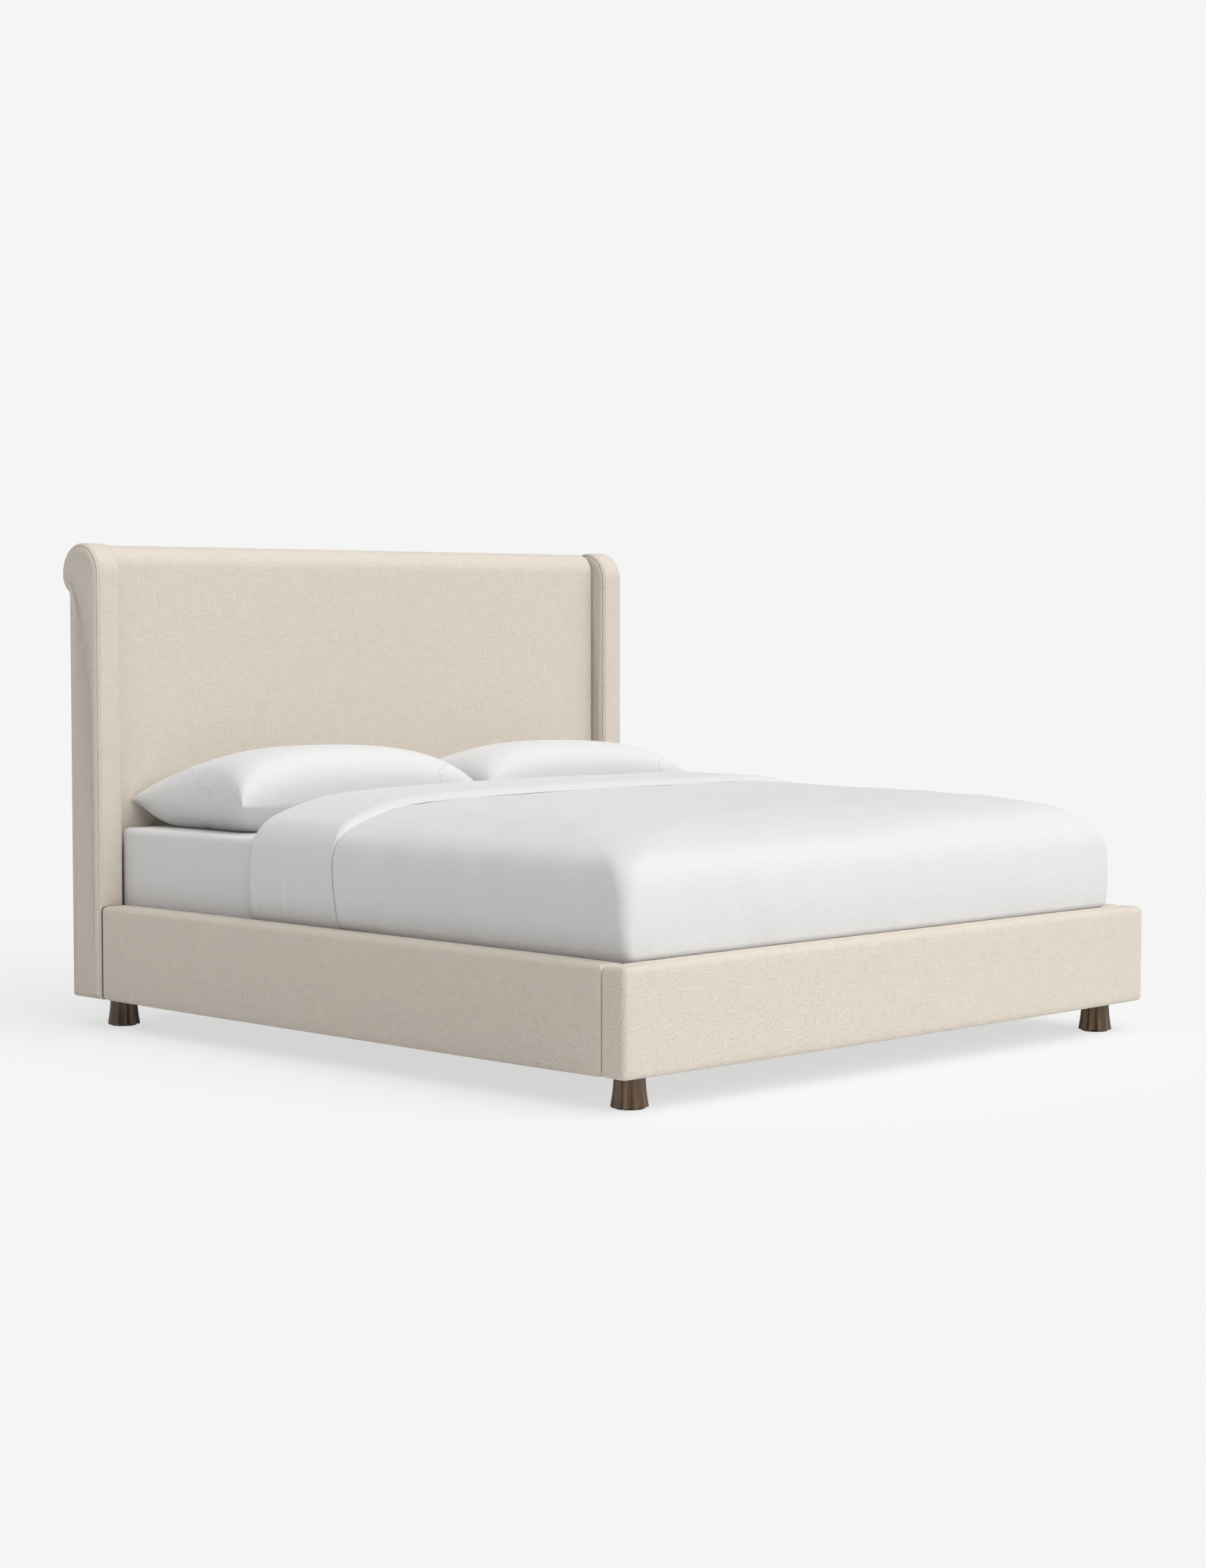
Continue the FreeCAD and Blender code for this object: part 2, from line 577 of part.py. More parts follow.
def blanket_section(y, top, tuck_gap, proud, rise):
    """Outline of the bedding across the bed at one Y: tucked sides, round shoulders, crowned top.

    top is the height of its crest over the fitted sheet, tuck_gap its room beside the rail, proud its
    reach outside the rail's inner face, and rise lifts the whole top, for a layer over another.
    """
    tuck_x = IN_X - tuck_gap
    tuck_top = RAIL_TOP + RAIL_CLEAR
    side_x = IN_X + proud
    edge_z = SHEET_TOP - SHOULDER_DROP + (SHOULDER_SHARE * top if top > 0 else top) + rise
    crest_z = SHEET_TOP + top + rise
    side_z = (tuck_top + edge_z) / 2
    bulge_x = side_x - (side_x - tuck_x) * 0.2
    shoulder_x = side_x - SHOULDER_IN
    crown_x = IN_X * CROWN_WIDTH
    crown_z = edge_z + (crest_z - edge_z) * CROWN_SHARE
    round_x = crown_x + (shoulder_x - crown_x) * 0.72
    round_z = edge_z + (crown_z - edge_z) * 0.72

    def half(sign):
        return [
            line((sign * tuck_x, y, TUCK_Z), (sign * tuck_x, y, tuck_top)),
            arc((sign * tuck_x, y, tuck_top), (sign * bulge_x, y, (tuck_top + side_z) / 2),
                (sign * side_x, y, side_z)),
            arc((sign * side_x, y, side_z), (sign * side_x, y, (side_z + edge_z) / 2),
                (sign * shoulder_x, y, edge_z)),
            arc((sign * shoulder_x, y, edge_z), (sign * round_x, y, round_z),
                (sign * crown_x, y, crown_z)),
        ]

    crown = arc((crown_x, y, crown_z), (0, y, crest_z), (-crown_x, y, crown_z))
    base = line((-tuck_x, y, TUCK_Z), (tuck_x, y, TUCK_Z))
    return Part.Wire(half(1) + [crown] + half(-1)[::-1] + [base])


def blanket_form(profile, tuck_gap, proud, rise):
    """Solid through the outlines of a profile: pairs of Y and crest height over the fitted sheet."""
    sections = [blanket_section(y, top, tuck_gap, proud, rise) for y, top in profile]
    return Part.makeLoft(sections, True, False)


def duvet_profile():
    """Y and crest height along the bed, from the tucked foot end to the head end under the fold."""
    points = [(FOOT_IN_Y + along, DUVET_TOP * rise) for along, rise in zip(DUVET_FOOT_AT, DUVET_FOOT_RISE)]
    last_y, last_top = points[-1]
    points.append(((last_y + BAND_FOOT_Y) / 2, (last_top + DUVET_TOP) / 2))
    points.append((BAND_FOOT_Y, DUVET_TOP))
    points.append((BAND_FOOT_Y + BAND_LENGTH * 0.4, DUVET_TOP * 1.06))
    points.append((BAND_FOOT_Y + BAND_LENGTH * 0.8, DUVET_TOP * 1.03))
    points.append((DUVET_HEAD_Y, DUVET_TOP * 0.9))
    return points


def band_profile():
    """The turned-down band runs over the duvet's head end and falls beyond it."""
    return [
        (BAND_FOOT_Y, DUVET_TOP),
        (BAND_FOOT_Y + BAND_LENGTH * 0.4, DUVET_TOP * 1.06),
        (BAND_FOOT_Y + BAND_LENGTH * 0.8, DUVET_TOP * 1.04),
        (DUVET_HEAD_Y + BAND_FALL, DUVET_TOP * 0.7),
    ]


def make_bedding():
    cavity = mattress_block(SHEET + SOFT_GAP)
    under = mattress_block(2 * SHEET + SOFT_GAP)
    past_band = box((-WIDTH, DUVET_HEAD_Y + BAND_FALL, 0), (WIDTH, DEPTH, HEADBOARD_TOP))
    layer = under.cut(below(TUCK_Z)).cut(past_band).cut(cavity)
    duvet_form = blanket_form(duvet_profile(), DUVET_TUCK_GAP, DUVET_PROUD, 0)
    band_form = blanket_form(band_profile(), BAND_TUCK_GAP, DUVET_PROUD + BAND_SIDE, BAND_RISE)
    duvet = duvet_form.cut(under)
    band = band_form.cut(duvet_form).cut(under)
    export("duvet", duvet)
    export("flat_sheet", band.fuse(layer).removeSplitter())


# ---------------------------------------------------------------- pillows
def pillow_form(centre_x, inset):
    """Crowned pillow: lens sections along X whose long sides are drawn in between thin ends.

    The inset makes every face come in by that much.
    """
    centre_y = PANEL_Y - PILLOW_BACK_GAP - PILLOW_DEPTH / 2
    seam_z = SHEET_TOP + SOFT_GAP + PILLOW_BOTTOM
    reach = PILLOW_LENGTH / 2 - inset
    sections = []
    for share in PILLOW_SECTIONS:
        fullness = math.sqrt(1 - abs(share) ** 3)
        half = (PILLOW_DEPTH / 2 - inset) - PILLOW_DRAW_IN * (1 - share ** 4)
        tip = PILLOW_TIP - inset
        top = tip + (PILLOW_TOP - PILLOW_TIP) * fullness
        belly = tip + (PILLOW_BOTTOM - PILLOW_TIP) * fullness
        flat = half * PILLOW_REST_SHARE
        side = (half + flat) / 2
        x = centre_x + share * reach

        def at(y, z):
            return (x, centre_y + y, seam_z + z)

        sections.append(Part.Wire([
            arc(at(-half, 0), at(0, top), at(half, 0)),
            arc(at(half, 0), at(side + half * 0.06, -belly * 0.68), at(flat, -belly)),
            line(at(flat, -belly), at(-flat, -belly)),
            arc(at(-flat, -belly), at(-side - half * 0.06, -belly * 0.68), at(-half, 0)),
        ]))
    rest_z = SHEET_TOP + SOFT_GAP + inset
    return Part.makeLoft(sections, True, False).cut(below(rest_z))


def make_pillows():
    for side, sign in SIDES:
        centre_x = sign * (PILLOW_MIDDLE_GAP + PILLOW_LENGTH) / 2
        filling = pillow_form(centre_x, CASE)
        export(f"pillowcase_{side}", pillow_form(centre_x, 0).cut(filling))
        export(f"pillow_{side}", filling)


def main():
    os.makedirs("parts", exist_ok=True)
    make_side_rails()
    make_footboard()
    make_wings()
    make_headboard()
    make_corner_joints()
    make_legs()
    make_slats()
    make_centre_beam()
    make_centre_legs()
    make_mattress()
    make_bedding()
    make_pillows()
    print(f"overall {WIDTH:.0f} x {DEPTH:.0f} x {HEADBOARD_TOP:.0f} mm")


main()
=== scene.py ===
# %% [markdown]
# # An upholstered bed with a scroll-winged headboard
# The real bed is a timber frame, padded with foam and wrapped in a linen-look weave. It stands on fluted
# wooden legs and is made up with white cotton bedding. The construction is loaded as a fixed model in metres,
# and every soft or shaped piece is then worked out as a surface that takes its place from that model.

# %% Load the construction
import json
import math

import bmesh
import bpy
import numpy as np
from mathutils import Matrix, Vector


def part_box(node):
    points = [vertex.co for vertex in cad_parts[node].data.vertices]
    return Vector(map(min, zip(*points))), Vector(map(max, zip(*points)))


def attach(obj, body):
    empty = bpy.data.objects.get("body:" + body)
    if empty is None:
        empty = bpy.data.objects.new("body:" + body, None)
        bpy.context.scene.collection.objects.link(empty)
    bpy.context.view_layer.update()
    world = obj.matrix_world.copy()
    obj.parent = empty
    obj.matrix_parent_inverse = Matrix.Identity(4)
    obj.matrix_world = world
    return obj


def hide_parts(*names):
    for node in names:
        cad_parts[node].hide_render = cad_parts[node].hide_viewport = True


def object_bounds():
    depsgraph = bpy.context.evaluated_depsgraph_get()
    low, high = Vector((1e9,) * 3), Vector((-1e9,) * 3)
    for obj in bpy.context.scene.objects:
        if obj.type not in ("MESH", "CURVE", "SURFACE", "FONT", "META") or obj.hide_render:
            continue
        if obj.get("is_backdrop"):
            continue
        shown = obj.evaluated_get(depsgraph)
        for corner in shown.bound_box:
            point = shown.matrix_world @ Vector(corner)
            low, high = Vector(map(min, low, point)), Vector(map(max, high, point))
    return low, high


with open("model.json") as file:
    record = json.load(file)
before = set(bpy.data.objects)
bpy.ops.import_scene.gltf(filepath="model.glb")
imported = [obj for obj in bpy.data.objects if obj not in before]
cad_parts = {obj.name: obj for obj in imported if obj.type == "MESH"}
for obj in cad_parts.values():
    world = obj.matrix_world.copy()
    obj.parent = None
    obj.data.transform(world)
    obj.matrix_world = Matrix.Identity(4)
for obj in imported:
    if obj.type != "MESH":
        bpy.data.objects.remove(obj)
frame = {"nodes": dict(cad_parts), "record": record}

MM = 0.001
CAD_BOX = [list(corner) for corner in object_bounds()]
NODES = frame["nodes"]
print("pieces in the construction:", len(NODES))
print("overall size in mm:", [round((high - low) / MM) for low, high in zip(*CAD_BOX)])


# %% [markdown]
# ## Places
# The sizes that the soft pieces need are read from the construction: the inside of the rails, the top of the
# mattress and the front of the headboard. A piece that follows them stays right if the construction changes.

# %% Places read from the construction
RAIL_LOW, RAIL_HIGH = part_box("rail_cover_right")
FOOT_LOW, FOOT_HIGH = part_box("footboard_cover")
WING_LOW, WING_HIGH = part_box("wing_cover_right")
PANEL_LOW, PANEL_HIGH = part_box("headboard_cover")
MATTRESS_LOW, MATTRESS_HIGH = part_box("mattress")
SHEET_LOW, SHEET_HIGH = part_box("fitted_sheet")
DUVET_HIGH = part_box("duvet")[1]
OUT_X = RAIL_HIGH.x
IN_X = RAIL_LOW.x
FOOT_IN_Y = FOOT_HIGH.y
RAIL_TOP = RAIL_HIGH.z
SHEET_TOP = SHEET_HIGH.z
print("inside of the rails in mm:", round(2 * IN_X / MM), "x", round((PANEL_LOW.y - FOOT_IN_Y) / MM))


# %% [markdown]
# ## Surfaces as arrays
# A padded piece is a stack of closed outlines, like the ribs of a boat, with a patch that closes each end.
# Each outline is an array of points, so numpy works out the whole surface at once, and the mesh is filled
# from the arrays. The lengths along both directions become a UV map in metres, which the weaves read.

# %% Mesh from grid patches
def running_length(points, axis):
    """Distance walked along one direction of a grid: the sums of the steps between neighbours."""
    steps = np.linalg.norm(np.diff(points, axis=axis), axis=-1)
    start = np.zeros_like(np.take(steps, [0], axis=axis))
    return np.concatenate([start, np.cumsum(steps, axis=axis)], axis=axis)


def smooth_curve(points, count):
    """Catmull-Rom curve through points, sampled evenly along its length."""
    padded = np.concatenate([2 * points[:1] - points[1:2], points, 2 * points[-1:] - points[-2:-1]])
    share = np.linspace(0, 1, 33)[:-1, None]
    pieces = []
    for before, first, second, after in zip(padded, padded[1:], padded[2:], padded[3:]):
        pieces.append(0.5 * (2 * first + (second - before) * share
                             + (2 * before - 5 * first + 4 * second - after) * share ** 2
                             + (3 * first - before - 3 * second + after) * share ** 3))
    curve = np.concatenate(pieces + [points[-1:]])
    walked = running_length(curve, 0)
    even = np.linspace(0, walked[-1], count)
    return np.column_stack([np.interp(even, walked, column) for column in curve.T])


def smooth_step(value):
    """0 below 0, 1 above 1 and an even S between them: 3 v^2 - 2 v^3."""
    value = np.clip(value, 0, 1)
    return value ** 2 * (3 - 2 * value)


def with_uv(points):
    """A patch and its UV map: mean walked length along the columns and along the rows, in metres."""
    across = running_length(points, 1).mean(axis=0)
    along = running_length(points, 0).mean(axis=1)
    return points, np.stack(np.broadcast_arrays(across[None, :], along[:, None]), axis=-1)


def piece_from(name, patches, material, body, weld=2e-5):
    """One smooth mesh from grid patches, whose shared borders are welded and whose faces point outwards."""
    points, quads, uvs = [], [], []
    start = 0
    for surface, uv in patches:
        rows, columns = surface.shape[:2]
        index = start + np.arange(rows * columns).reshape(rows, columns)
        quad = np.stack([index[:-1, :-1], index[:-1, 1:], index[1:, 1:], index[1:, :-1]], axis=-1)
        quads.append(quad.reshape(-1, 4))
        uvs.append(uv.reshape(-1, 2)[quad.ravel() - start])
        points.append(surface.reshape(-1, 3))
        start += rows * columns
    mesh = bpy.data.meshes.new(name)
    mesh.from_pydata(np.concatenate(points).tolist(), [], np.concatenate(quads).tolist())
    mesh.uv_layers.new(name="weave").data.foreach_set("uv", np.concatenate(uvs).ravel())
    build = bmesh.new()
    build.from_mesh(mesh)
    bmesh.ops.remove_doubles(build, verts=build.verts, dist=weld)
    bmesh.ops.dissolve_degenerate(build, dist=weld, edges=build.edges)
    bmesh.ops.recalc_face_normals(build, faces=build.faces)
    build.to_mesh(mesh)
    build.free()
    mesh.shade_smooth()
    mesh.materials.append(material)
    piece = bpy.data.objects.new(name, mesh)
    bpy.context.scene.collection.objects.link(piece)
    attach(piece, body)
    print(f"{name}: {len(mesh.polygons)} faces")
    return piece


# %% [markdown]
# ## Closing an outline
# A patch fills an outline from four of its corners. It is the Coons patch, which blends the four sides and
# takes away the corners that were counted twice.

# %% Patch inside an outline
def fill(ring, across, along):
    """Grid inside a closed ring whose sides have along, across, along and across steps in turn.

    A point is the blend of the left and right sides, plus the blend of the far and near sides, minus the
    blend of the four corners.
    """
    loop = np.concatenate([ring, ring[:1]])
    left = loop[:along + 1]
    near = loop[along:along + across + 1]
    right = loop[along + across:2 * along + across + 1][::-1]
    far = loop[2 * along + across:][::-1]
    down = (running_length(left, 0) / max(running_length(left, 0)[-1], 1e-9)
            + running_length(right, 0) / max(running_length(right, 0)[-1], 1e-9))[:, None, None] / 2
    over = (running_length(near, 0) / max(running_length(near, 0)[-1], 1e-9)
            + running_length(far, 0) / max(running_length(far, 0)[-1], 1e-9))[None, :, None] / 2
    sides = (1 - over) * left[:, None] + over * right[:, None]
    ends = (1 - down) * far[None, :] + down * near[None, :]
    corners = ((1 - down) * ((1 - over) * left[0] + over * right[0])
               + down * ((1 - over) * left[-1] + over * right[-1]))
    return sides + ends - corners


def pad_patches(rings, across, along, ends=(True, True)):
    """Patches of a closed pad: the stack of rings, and a fill at its first and last ring."""
    closed = np.concatenate([rings, rings[:, :1]], axis=1)
    patches = [with_uv(closed)]
    for ring, wanted in zip((rings[0], rings[-1]), ends):
        if wanted:
            patches.append(with_uv(fill(ring, across, along)))
    return patches


# %% [markdown]
# ## Rounded rectangles
# Rails, mattress and sheets are all rounded rectangles seen from above. The outline is four quarter circles
# joined by straight sides, and its corners are allowed different radii: small at a seam, large on a soft edge.

# %% Rounded rectangle outline
CORNER_STEPS = 6


def rounded_ring(low, high, radii, across, along):
    """Outline from above, from the far left corner, down the left side and round to the start.

    Each side runs from the middle of one corner's arc to the middle of the next: half an arc, a straight
    stretch and half an arc. radii are those of the far left, near left, near right and far right corners.
    """
    signs = np.array([(-1, 1), (-1, -1), (1, -1), (1, 1)])
    bounds = np.where(signs > 0, high, low)
    reach = np.asarray(radii)[:, None]
    centres = bounds - signs * reach
    middle = np.radians([135, 225, 315, 405])
    sides = []
    for first, steps in zip(range(4), (along, across, along, across)):
        second = (first + 1) % 4
        start = np.linspace(middle[first], middle[first] + math.pi / 4, CORNER_STEPS + 1)
        end = np.linspace(middle[first] + math.pi / 4, middle[first] + math.pi / 2, CORNER_STEPS + 1)
        leaving = centres[first] + reach[first] * np.stack([np.cos(start), np.sin(start)], axis=-1)
        arriving = centres[second] + reach[second] * np.stack([np.cos(end), np.sin(end)], axis=-1)
        share = np.linspace(0, 1, steps - 2 * CORNER_STEPS + 1)[1:-1, None]
        straight = leaving[-1] * (1 - share) + arriving[0] * share
        sides.append(np.concatenate([leaving, straight, arriving[:-1]]))
    return np.concatenate(sides)


def quarter_round(radius, steps):
    """Distance travelled and inset along a quarter circle that turns from an end face into a side."""
    turn = np.linspace(0, math.pi / 2, steps + 1)
    return radius * (1 - np.cos(turn)), radius * (1 - np.sin(turn))


def upright_rings(low, high, radii, edge, across, along, steps=16):
    """Outlines stacked in Z between two corners of a box, with rounded top and bottom edges."""
    travel, inset = quarter_round(edge, CORNER_STEPS)
    heights = np.concatenate([low[2] + travel, np.linspace(low[2] + edge, high[2] - edge, steps + 1)[1:-1],
                              high[2] - travel[::-1]])
    insets = np.concatenate([inset, np.zeros(steps - 1), inset[::-1]])
    rings = []
    for height, inward in zip(heights, insets):
        flat = rounded_ring(np.array(low[:2]) + inward, np.array(high[:2]) - inward,
                            np.maximum(np.asarray(radii) - inward, 0.2 * MM), across, along)
        rings.append(np.column_stack([flat, np.full(len(flat), height)]))
    return np.array(rings)


def swell(points, low, high, amounts, power=4):
    """Foam under a stretched cover: each face bulges by its amount, and the bulge dies away at its edges.

    With q the place between the box's faces from -1 to 1, axis i moves by amount_i q_i (1 - q_j^power)
    (1 - q_k^power), where j and k are the other two axes.
    """
    low, high = np.array(low), np.array(high)
    place = np.clip((2 * points - low - high) / (high - low), -1, 1)
    rest = 1 - np.abs(place) ** power
    others = np.stack([rest[..., 1] * rest[..., 2], rest[..., 0] * rest[..., 2], rest[..., 0] * rest[..., 1]],
                      axis=-1)
    return points + np.array(amounts) * place * others


# %% [markdown]
# ## Materials
# Each finish starts from what the real one is. Colours are written as they look on a screen and turned to
# linear values once, and one small function adds a node with its settings and links.

# %% Colour and node helpers
def linear(code):
    """Linear colour of an sRGB hex code: c / 12.92 near black, else ((c + 0.055) / 1.055) to the power 2.4."""
    channels = [int(code[at:at + 2], 16) / 255 for at in (0, 2, 4)]
    bright = [c / 12.92 if c <= 0.04045 else ((c + 0.055) / 1.055) ** 2.4 for c in channels]
    return (*bright, 1.0)


def add(tree, kind, sockets=None, **settings):
    """Adds one shader node. sockets maps an input to a value, or to the output that feeds it."""
    node = tree.nodes.new("ShaderNode" + kind)
    for name, value in settings.items():
        setattr(node, name, value)
    for socket, value in (sockets or {}).items():
        if isinstance(value, bpy.types.NodeSocket):
            tree.links.new(value, node.inputs[socket])
        else:
            node.inputs[socket].default_value = value
    return node


def new_finish(name):
    """An empty material with a Principled shader: returns the material, its tree and the shader."""
    material = bpy.data.materials.new(name)
    material.use_nodes = True
    material.node_tree.nodes.clear()
    tree = material.node_tree
    shader = add(tree, "BsdfPrincipled")
    add(tree, "OutputMaterial", {"Surface": shader.outputs["BSDF"]})
    return material, tree, shader


# %% [markdown]
# ## Linen-look upholstery weave
# A plain weave of slubby yarn: threads of uneven thickness cross over and under each other, which gives short
# light and dark streaks both ways and a peppering of small grains. Real threads are about 0.6 mm apart, too
# fine to show from across a room, so they are drawn at 2.4 mm. The pattern reads the UV map in metres.

# %% Linen weave
def woven(name, dark, light, thread, slub, grain, rough, sheen, depth, contrast):
    """A plain weave: colour between dark and light from long streaks both ways and small grains.

    Height is the product of two sine waves, one for each set of threads, plus the streaks and the grains.
    thread, slub and grain are sizes in metres, depth is the height of the relief.
    """
    material, tree, shader = new_finish(name)
    uv = add(tree, "TexCoord").outputs["UV"]
    split = add(tree, "SeparateXYZ", {0: uv})
    waves = []
    for axis in (0, 1):
        angle = add(tree, "Math", {0: split.outputs[axis], 1: math.pi / thread}, operation="MULTIPLY")
        waves.append(add(tree, "Math", {0: angle.outputs[0]}, operation="SINE").outputs[0])
    cloth = add(tree, "Math", {0: waves[0], 1: waves[1]}, operation="MULTIPLY").outputs[0]
    marks = []
    for scale in ((1 / (14 * slub), 1 / slub, 1), (1 / slub, 1 / (14 * slub), 1), (1 / grain, 1 / grain, 1)):
        place = add(tree, "Mapping", {"Vector": uv, "Scale": scale})
        noise = add(tree, "TexNoise", {"Vector": place.outputs[0], "Scale": 1.0, "Detail": 2.0})
        marks.append(noise.outputs[0])
    streaks = add(tree, "Math", {0: marks[0], 1: marks[1]}, operation="ADD").outputs[0]
    grains = add(tree, "Math", {0: marks[2], 1: 2.0}, operation="MULTIPLY").outputs[0]
    both = add(tree, "Math", {0: streaks, 1: 0.5, 2: grains}, operation="MULTIPLY_ADD").outputs[0]
    tone = add(tree, "MapRange", {0: both, 1: 1.5 - 1 / contrast, 2: 1.5 + 1 / contrast, 3: 0.0, 4: 1.0})
    colour = add(tree, "Mix", {0: tone.outputs[0], 6: linear(dark), 7: linear(light)}, data_type="RGBA")
    relief = add(tree, "Math", {0: cloth, 1: 0.4, 2: both}, operation="MULTIPLY_ADD")
    bump = add(tree, "Bump", {"Height": relief.outputs[0], "Distance": depth, "Strength": 1.0})
    tree.links.new(colour.outputs[2], shader.inputs["Base Color"])
    tree.links.new(bump.outputs[0], shader.inputs["Normal"])
    shader.inputs["Roughness"].default_value = rough
    shader.inputs["Sheen Weight"].default_value = sheen
    shader.inputs["Specular IOR Level"].default_value = 0.25
    return material


LINEN = woven("natural_linen_weave", "C7BEB1", "E5DCD0", 2.4 * MM, 4.0 * MM, 3.2 * MM, 0.92, 0.05,
              0.8 * MM, 2.0)
BACKING = woven("back_board_linen", "B7AE9F", "D3CABC", 2.4 * MM, 4.0 * MM, 3.2 * MM, 0.95, 0.0,
                0.3 * MM, 1.6)
THREAD = woven("upholstery_thread", "B9AC97", "D6CBB8", 0.6 * MM, 1.0 * MM, 1.0 * MM, 0.7, 0.1,
               0.05 * MM, 1.0)


# %% [markdown]
# ## White cotton
# Percale is a tight plain weave of fine bleached cotton. From a distance it is even and matt, with only a
# little unevenness where the cloth has been pressed. A second, knitted cotton covers the mattress.

# %% White cotton
COTTON = woven("white_percale_cotton", "D6D6D6", "DEDEDE", 1.6 * MM, 6.0 * MM, 9.0 * MM, 0.88, 0.08,
               0.08 * MM, 1.2)
DUVET_COTTON = woven("duvet_cover_cotton", "D5D5D5", "DDDDDD", 1.6 * MM, 7.0 * MM, 12.0 * MM, 0.88, 0.08,
                     0.10 * MM, 1.2)
# The hem thread is drawn greyer than the cotton as painted shade: it stands in for the shadow of the stitched
# valley.
THREAD_PAINTED_SHADE = woven("grey_thread_painted_shade", "BEBEBE", "CACACA", 0.5 * MM, 1.0 * MM, 1.0 * MM, 0.7, 0.1,
                      0.05 * MM, 1.0)
TICKING = woven("knitted_mattress_ticking", "D9D7D2", "E9E7E3", 5.0 * MM, 9.0 * MM, 5.0 * MM, 0.95, 0.1,
                0.8 * MM, 1.4)


# %% [markdown]
# ## Wood
# The grain of sawn timber is a set of growth rings cut along their length, so it is stretched noise: long in
# the direction of the piece and a few millimetres across it. The same idea serves raw pine, hardwood and the
# dark stained legs, with other colours and another gloss.

# %% Wood grain
def wood(name, dark, light, length_axis, ring, rough, coat, depth):
    """Grain between two colours: noise stretched along one axis, with finer pores on top."""
    material, tree, shader = new_finish(name)
    place = add(tree, "TexCoord").outputs["Object"]
    scale = [1 / ring] * 3
    scale[length_axis] = 1 / (30 * ring)
    grain = add(tree, "Mapping", {"Vector": place, "Scale": scale})
    rings = add(tree, "TexNoise", {"Vector": grain.outputs[0], "Scale": 1.0, "Detail": 4.0, "Distortion": 0.6})
    pores = add(tree, "TexNoise", {"Vector": grain.outputs[0], "Scale": 5.0, "Detail": 2.0})
    both = add(tree, "Math", {0: pores.outputs[0], 1: 0.35, 2: rings.outputs[0]}, operation="MULTIPLY_ADD")
    tone = add(tree, "MapRange", {0: both.outputs[0], 1: 0.45, 2: 0.95, 3: 0.0, 4: 1.0})
    colour = add(tree, "Mix", {0: tone.outputs[0], 6: linear(dark), 7: linear(light)}, data_type="RGBA")
    bump = add(tree, "Bump", {"Height": both.outputs[0], "Distance": depth, "Strength": 0.6})
    tree.links.new(colour.outputs[2], shader.inputs["Base Color"])
    tree.links.new(bump.outputs[0], shader.inputs["Normal"])
    shader.inputs["Roughness"].default_value = rough
    shader.inputs["Coat Weight"].default_value = coat
    shader.inputs["Coat Roughness"].default_value = 0.25
    return material


WALNUT = wood("dark_stained_wood_satin", "523F2B", "7C6248", 2, 8 * MM, 0.34, 0.0, 0.12 * MM)
PINE_X = wood("planed_pine_across", "C29A64", "E3C391", 0, 7 * MM, 0.7, 0.0, 0.3 * MM)
PINE_Y = wood("planed_pine_along", "C29A64", "E3C391", 1, 7 * MM, 0.7, 0.0, 0.3 * MM)
PINE_Z = wood("planed_pine_upright", "C29A64", "E3C391", 2, 7 * MM, 0.7, 0.0, 0.3 * MM)
TIMBER = wood("sanded_plywood", "B08C60", "D2B184", 0, 9 * MM, 0.75, 0.0, 0.3 * MM)


# %% [markdown]
# ## Metal, foam and plastic
# The brackets are steel with a black powder coat, which is slightly pebbled, and the bolts are zinc plated,
# bright but clouded. Foam is a mass of tiny cells. The glides under the legs are moulded nylon. Dark felt
# in the joint between a rail and a wing is painted shade: it stands in for the shadow in that narrow gap.

# %% Metal, foam and plastic
def speckled(name, dark, light, size, rough, metal, depth):
    """Fine specks between two colours with a matching relief, for coated, plated, moulded or foamed parts."""
    material, tree, shader = new_finish(name)
    place = add(tree, "TexCoord").outputs["Object"]
    specks = add(tree, "TexNoise", {"Vector": place, "Scale": 1 / size, "Detail": 3.0})
    colour = add(tree, "Mix", {0: specks.outputs[0], 6: linear(dark), 7: linear(light)}, data_type="RGBA")
    bump = add(tree, "Bump", {"Height": specks.outputs[0], "Distance": depth, "Strength": 0.5})
    tree.links.new(colour.outputs[2], shader.inputs["Base Color"])
    tree.links.new(bump.outputs[0], shader.inputs["Normal"])
    shader.inputs["Roughness"].default_value = rough
    shader.inputs["Metallic"].default_value = metal
    return material


STEEL = speckled("black_powder_coated_steel", "17171A", "2A2A2D", 1.5 * MM, 0.55, 0.0, 0.1 * MM)
ZINC = speckled("zinc_plated_steel", "8E9090", "C9CBCB", 3.0 * MM, 0.35, 1.0, 0.05 * MM)
FOAM = speckled("polyurethane_foam", "D9CFA4", "EDE6C6", 3.0 * MM, 0.95, 0.0, 0.6 * MM)
NYLON = speckled("black_moulded_nylon", "141414", "242424", 1.0 * MM, 0.5, 0.0, 0.05 * MM)
# Charcoal felt for the joints at the wings is painted shade: a dark fill where the gap would lie in shadow.
PAINTED_SHADE_FELT = speckled("charcoal_felt_painted_shade", "1A1918", "2C2A28", 2.0 * MM, 1.0, 0.0, 0.4 * MM)


# %% [markdown]
# ## Rails and footboard
# Each is a board wrapped in foam and cloth. The cloth is pulled tight at the seams, where neighbours meet in a
# thin dark line, and rises over the foam between them. The edges at a seam have a small radius and the free
# edges a large one. The footboard runs across the full width, and its ends show beside the rails.

# %% Side rails and footboard
SEAM_RADIUS = 3 * MM
SEAM_GAP = 2 * MM
WING_GAP = 4 * MM
TOP_RADIUS = 15 * MM
FREE_RADIUS = 15 * MM
RAIL_SWELL = (3 * MM, 0.0, 2.5 * MM)
FOOT_SWELL = (0.0, 4 * MM, 2.5 * MM)


def mirrored(patches, sign):
    """The patches themselves for the right side, or their mirror image for the left."""
    return [(surface * np.array([sign, 1, 1]), uv) for surface, uv in patches]


def upright_pad(low, high, radii, edge, across, along, swelling):
    rings = upright_rings(low, high, radii, edge, across, along)
    return [(swell(surface, low, high, swelling), uv) for surface, uv in pad_patches(rings, across, along)]


